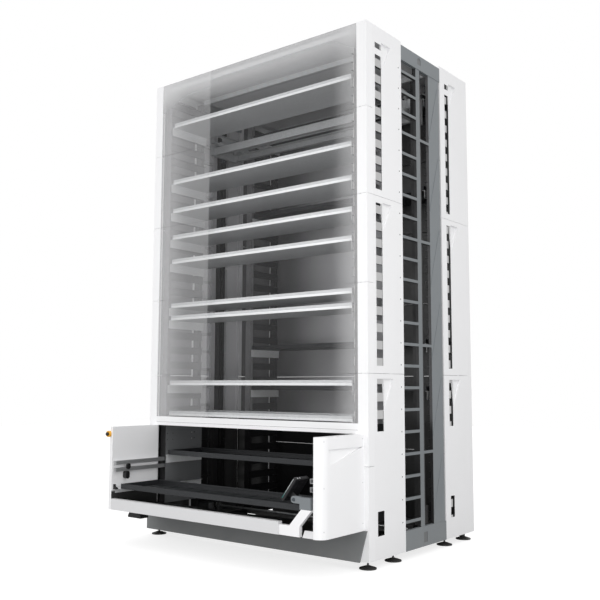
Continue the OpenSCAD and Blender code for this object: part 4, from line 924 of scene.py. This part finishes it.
# A painted glint: a teal strip on the screen's edge, paler towards the top.
painted_glint, tree, shader = new_material("painted glint on the console edge", 0.25)
feed(tree, shader.inputs["Base Color"],
     mix(tree, ramp(tree, coordinates(tree)["Z"], PALER_FROM, PALER_TO), GLINT_DARK, GLINT_PALE))
shape = bmesh.new()
edge = rect(foot + STRIP_MARGIN, front - STRIP_BACK, crown - STRIP_MARGIN, front - STRIP_FRONT)
prism(shape, edge, Y, console_y - 0.0005, console_y + 0.002, 0.0006, 1)
on_console("console_painted_glint", shape, painted_glint, "clear_panel")
print("console in eight pieces")

# %% Emergency stop
button_low, button_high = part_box("estop_button")
centre = ((button_low.x + button_high.x) / 2, button_low.y, (button_low.z + button_high.z) / 2)
r = (button_high.x - button_low.x) / 2
shape = bmesh.new()
turned(shape, [(0.0, r * 0.55), (0.002, r * 0.80), (0.006, r * 0.95), (0.011, r), (0.017, r * 0.97),
               (0.020, r * 0.70), (0.022, r * 0.60), (button_high.y - button_low.y, r * 0.60)],
       centre, Y, 48)
settle(from_bmesh("stop_mushroom", shape, black_plastic), "stop_button", "black_plastic", "estop_button")
print("emergency stop", [round(v, 3) for v in centre], "radius", round(r, 3))

# %% [markdown]
# The gearmotor's casting is plain in the CAD model. Here it gets a fan cowl
# with a grille, a terminal box with a cable gland, and the bolts of the
# gearbox cover.

# %% Dressing of the gearmotor
COWL_STATIONS = ((-0.050, 0.0585), (-0.004, 0.0585), (0.001, 0.0560), (0.003, 0.0500), (0.003, 0.046))
GLAND_STATIONS = ((0.0, 0.009), (0.010, 0.009), (0.012, 0.0065), (0.018, 0.0065))
MOTOR_X, MOTOR_RADIUS = 1.720, 0.0595
GRILLE_RINGS, WIDEST_RING, RING_STEP = 4, 0.038, 0.009
BOX_X, BOX_HALF_WIDTH, BOX_FOOT, BOX_TOP = (1.650, 1.668), 0.036, 0.150, 0.070
GLAND_X, GLAND_DOWN = 1.659, 0.168
BOLTS_Y, BOLT_SPREAD, BOLT_LEVELS = 0.424, 0.045, (0.015, 0.085)

motor_low, motor_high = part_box("gearmotor")
motor_y = motor_high.y - MOTOR_RADIUS
axis = (MOTOR_X, motor_y, motor_high.z)
shape = bmesh.new()
turned(shape, COWL_STATIONS, axis, Z, 48)
for k in range(GRILLE_RINGS):
    wide = WIDEST_RING - RING_STEP * k
    turned(shape, ((0.0025, wide), (0.0045, wide), (0.0045, wide - 0.003)), axis, Z, 32)
settle(from_bmesh("motor_cowl", shape, black_coat), "root", "black_steel")
shape = bmesh.new()
prism(shape, rect(motor_y - BOX_HALF_WIDTH, motor_high.z - BOX_FOOT, motor_y + BOX_HALF_WIDTH,
                  motor_high.z - BOX_TOP), X, *BOX_X, 0.004)
turned(shape, GLAND_STATIONS, (GLAND_X, motor_y, motor_high.z - GLAND_DOWN), Z, 16)
settle(from_bmesh("motor_terminal_box", shape, dark_coat), "root", "dark_steel")
points = [(motor_low.x, y, motor_low.z + up) for y in (BOLTS_Y - BOLT_SPREAD, BOLTS_Y + BOLT_SPREAD)
          for up in BOLT_LEVELS]
settle(scatter("gearbox_bolts", points, heads, bright_steel, Facing=(-1.0, 0.0, 0.0), Radius=0.006,
               Height=0.005, Sides=6), "root", "bright_steel")
print("gearmotor box", [round(v, 3) for v in motor_low], [round(v, 3) for v in motor_high])
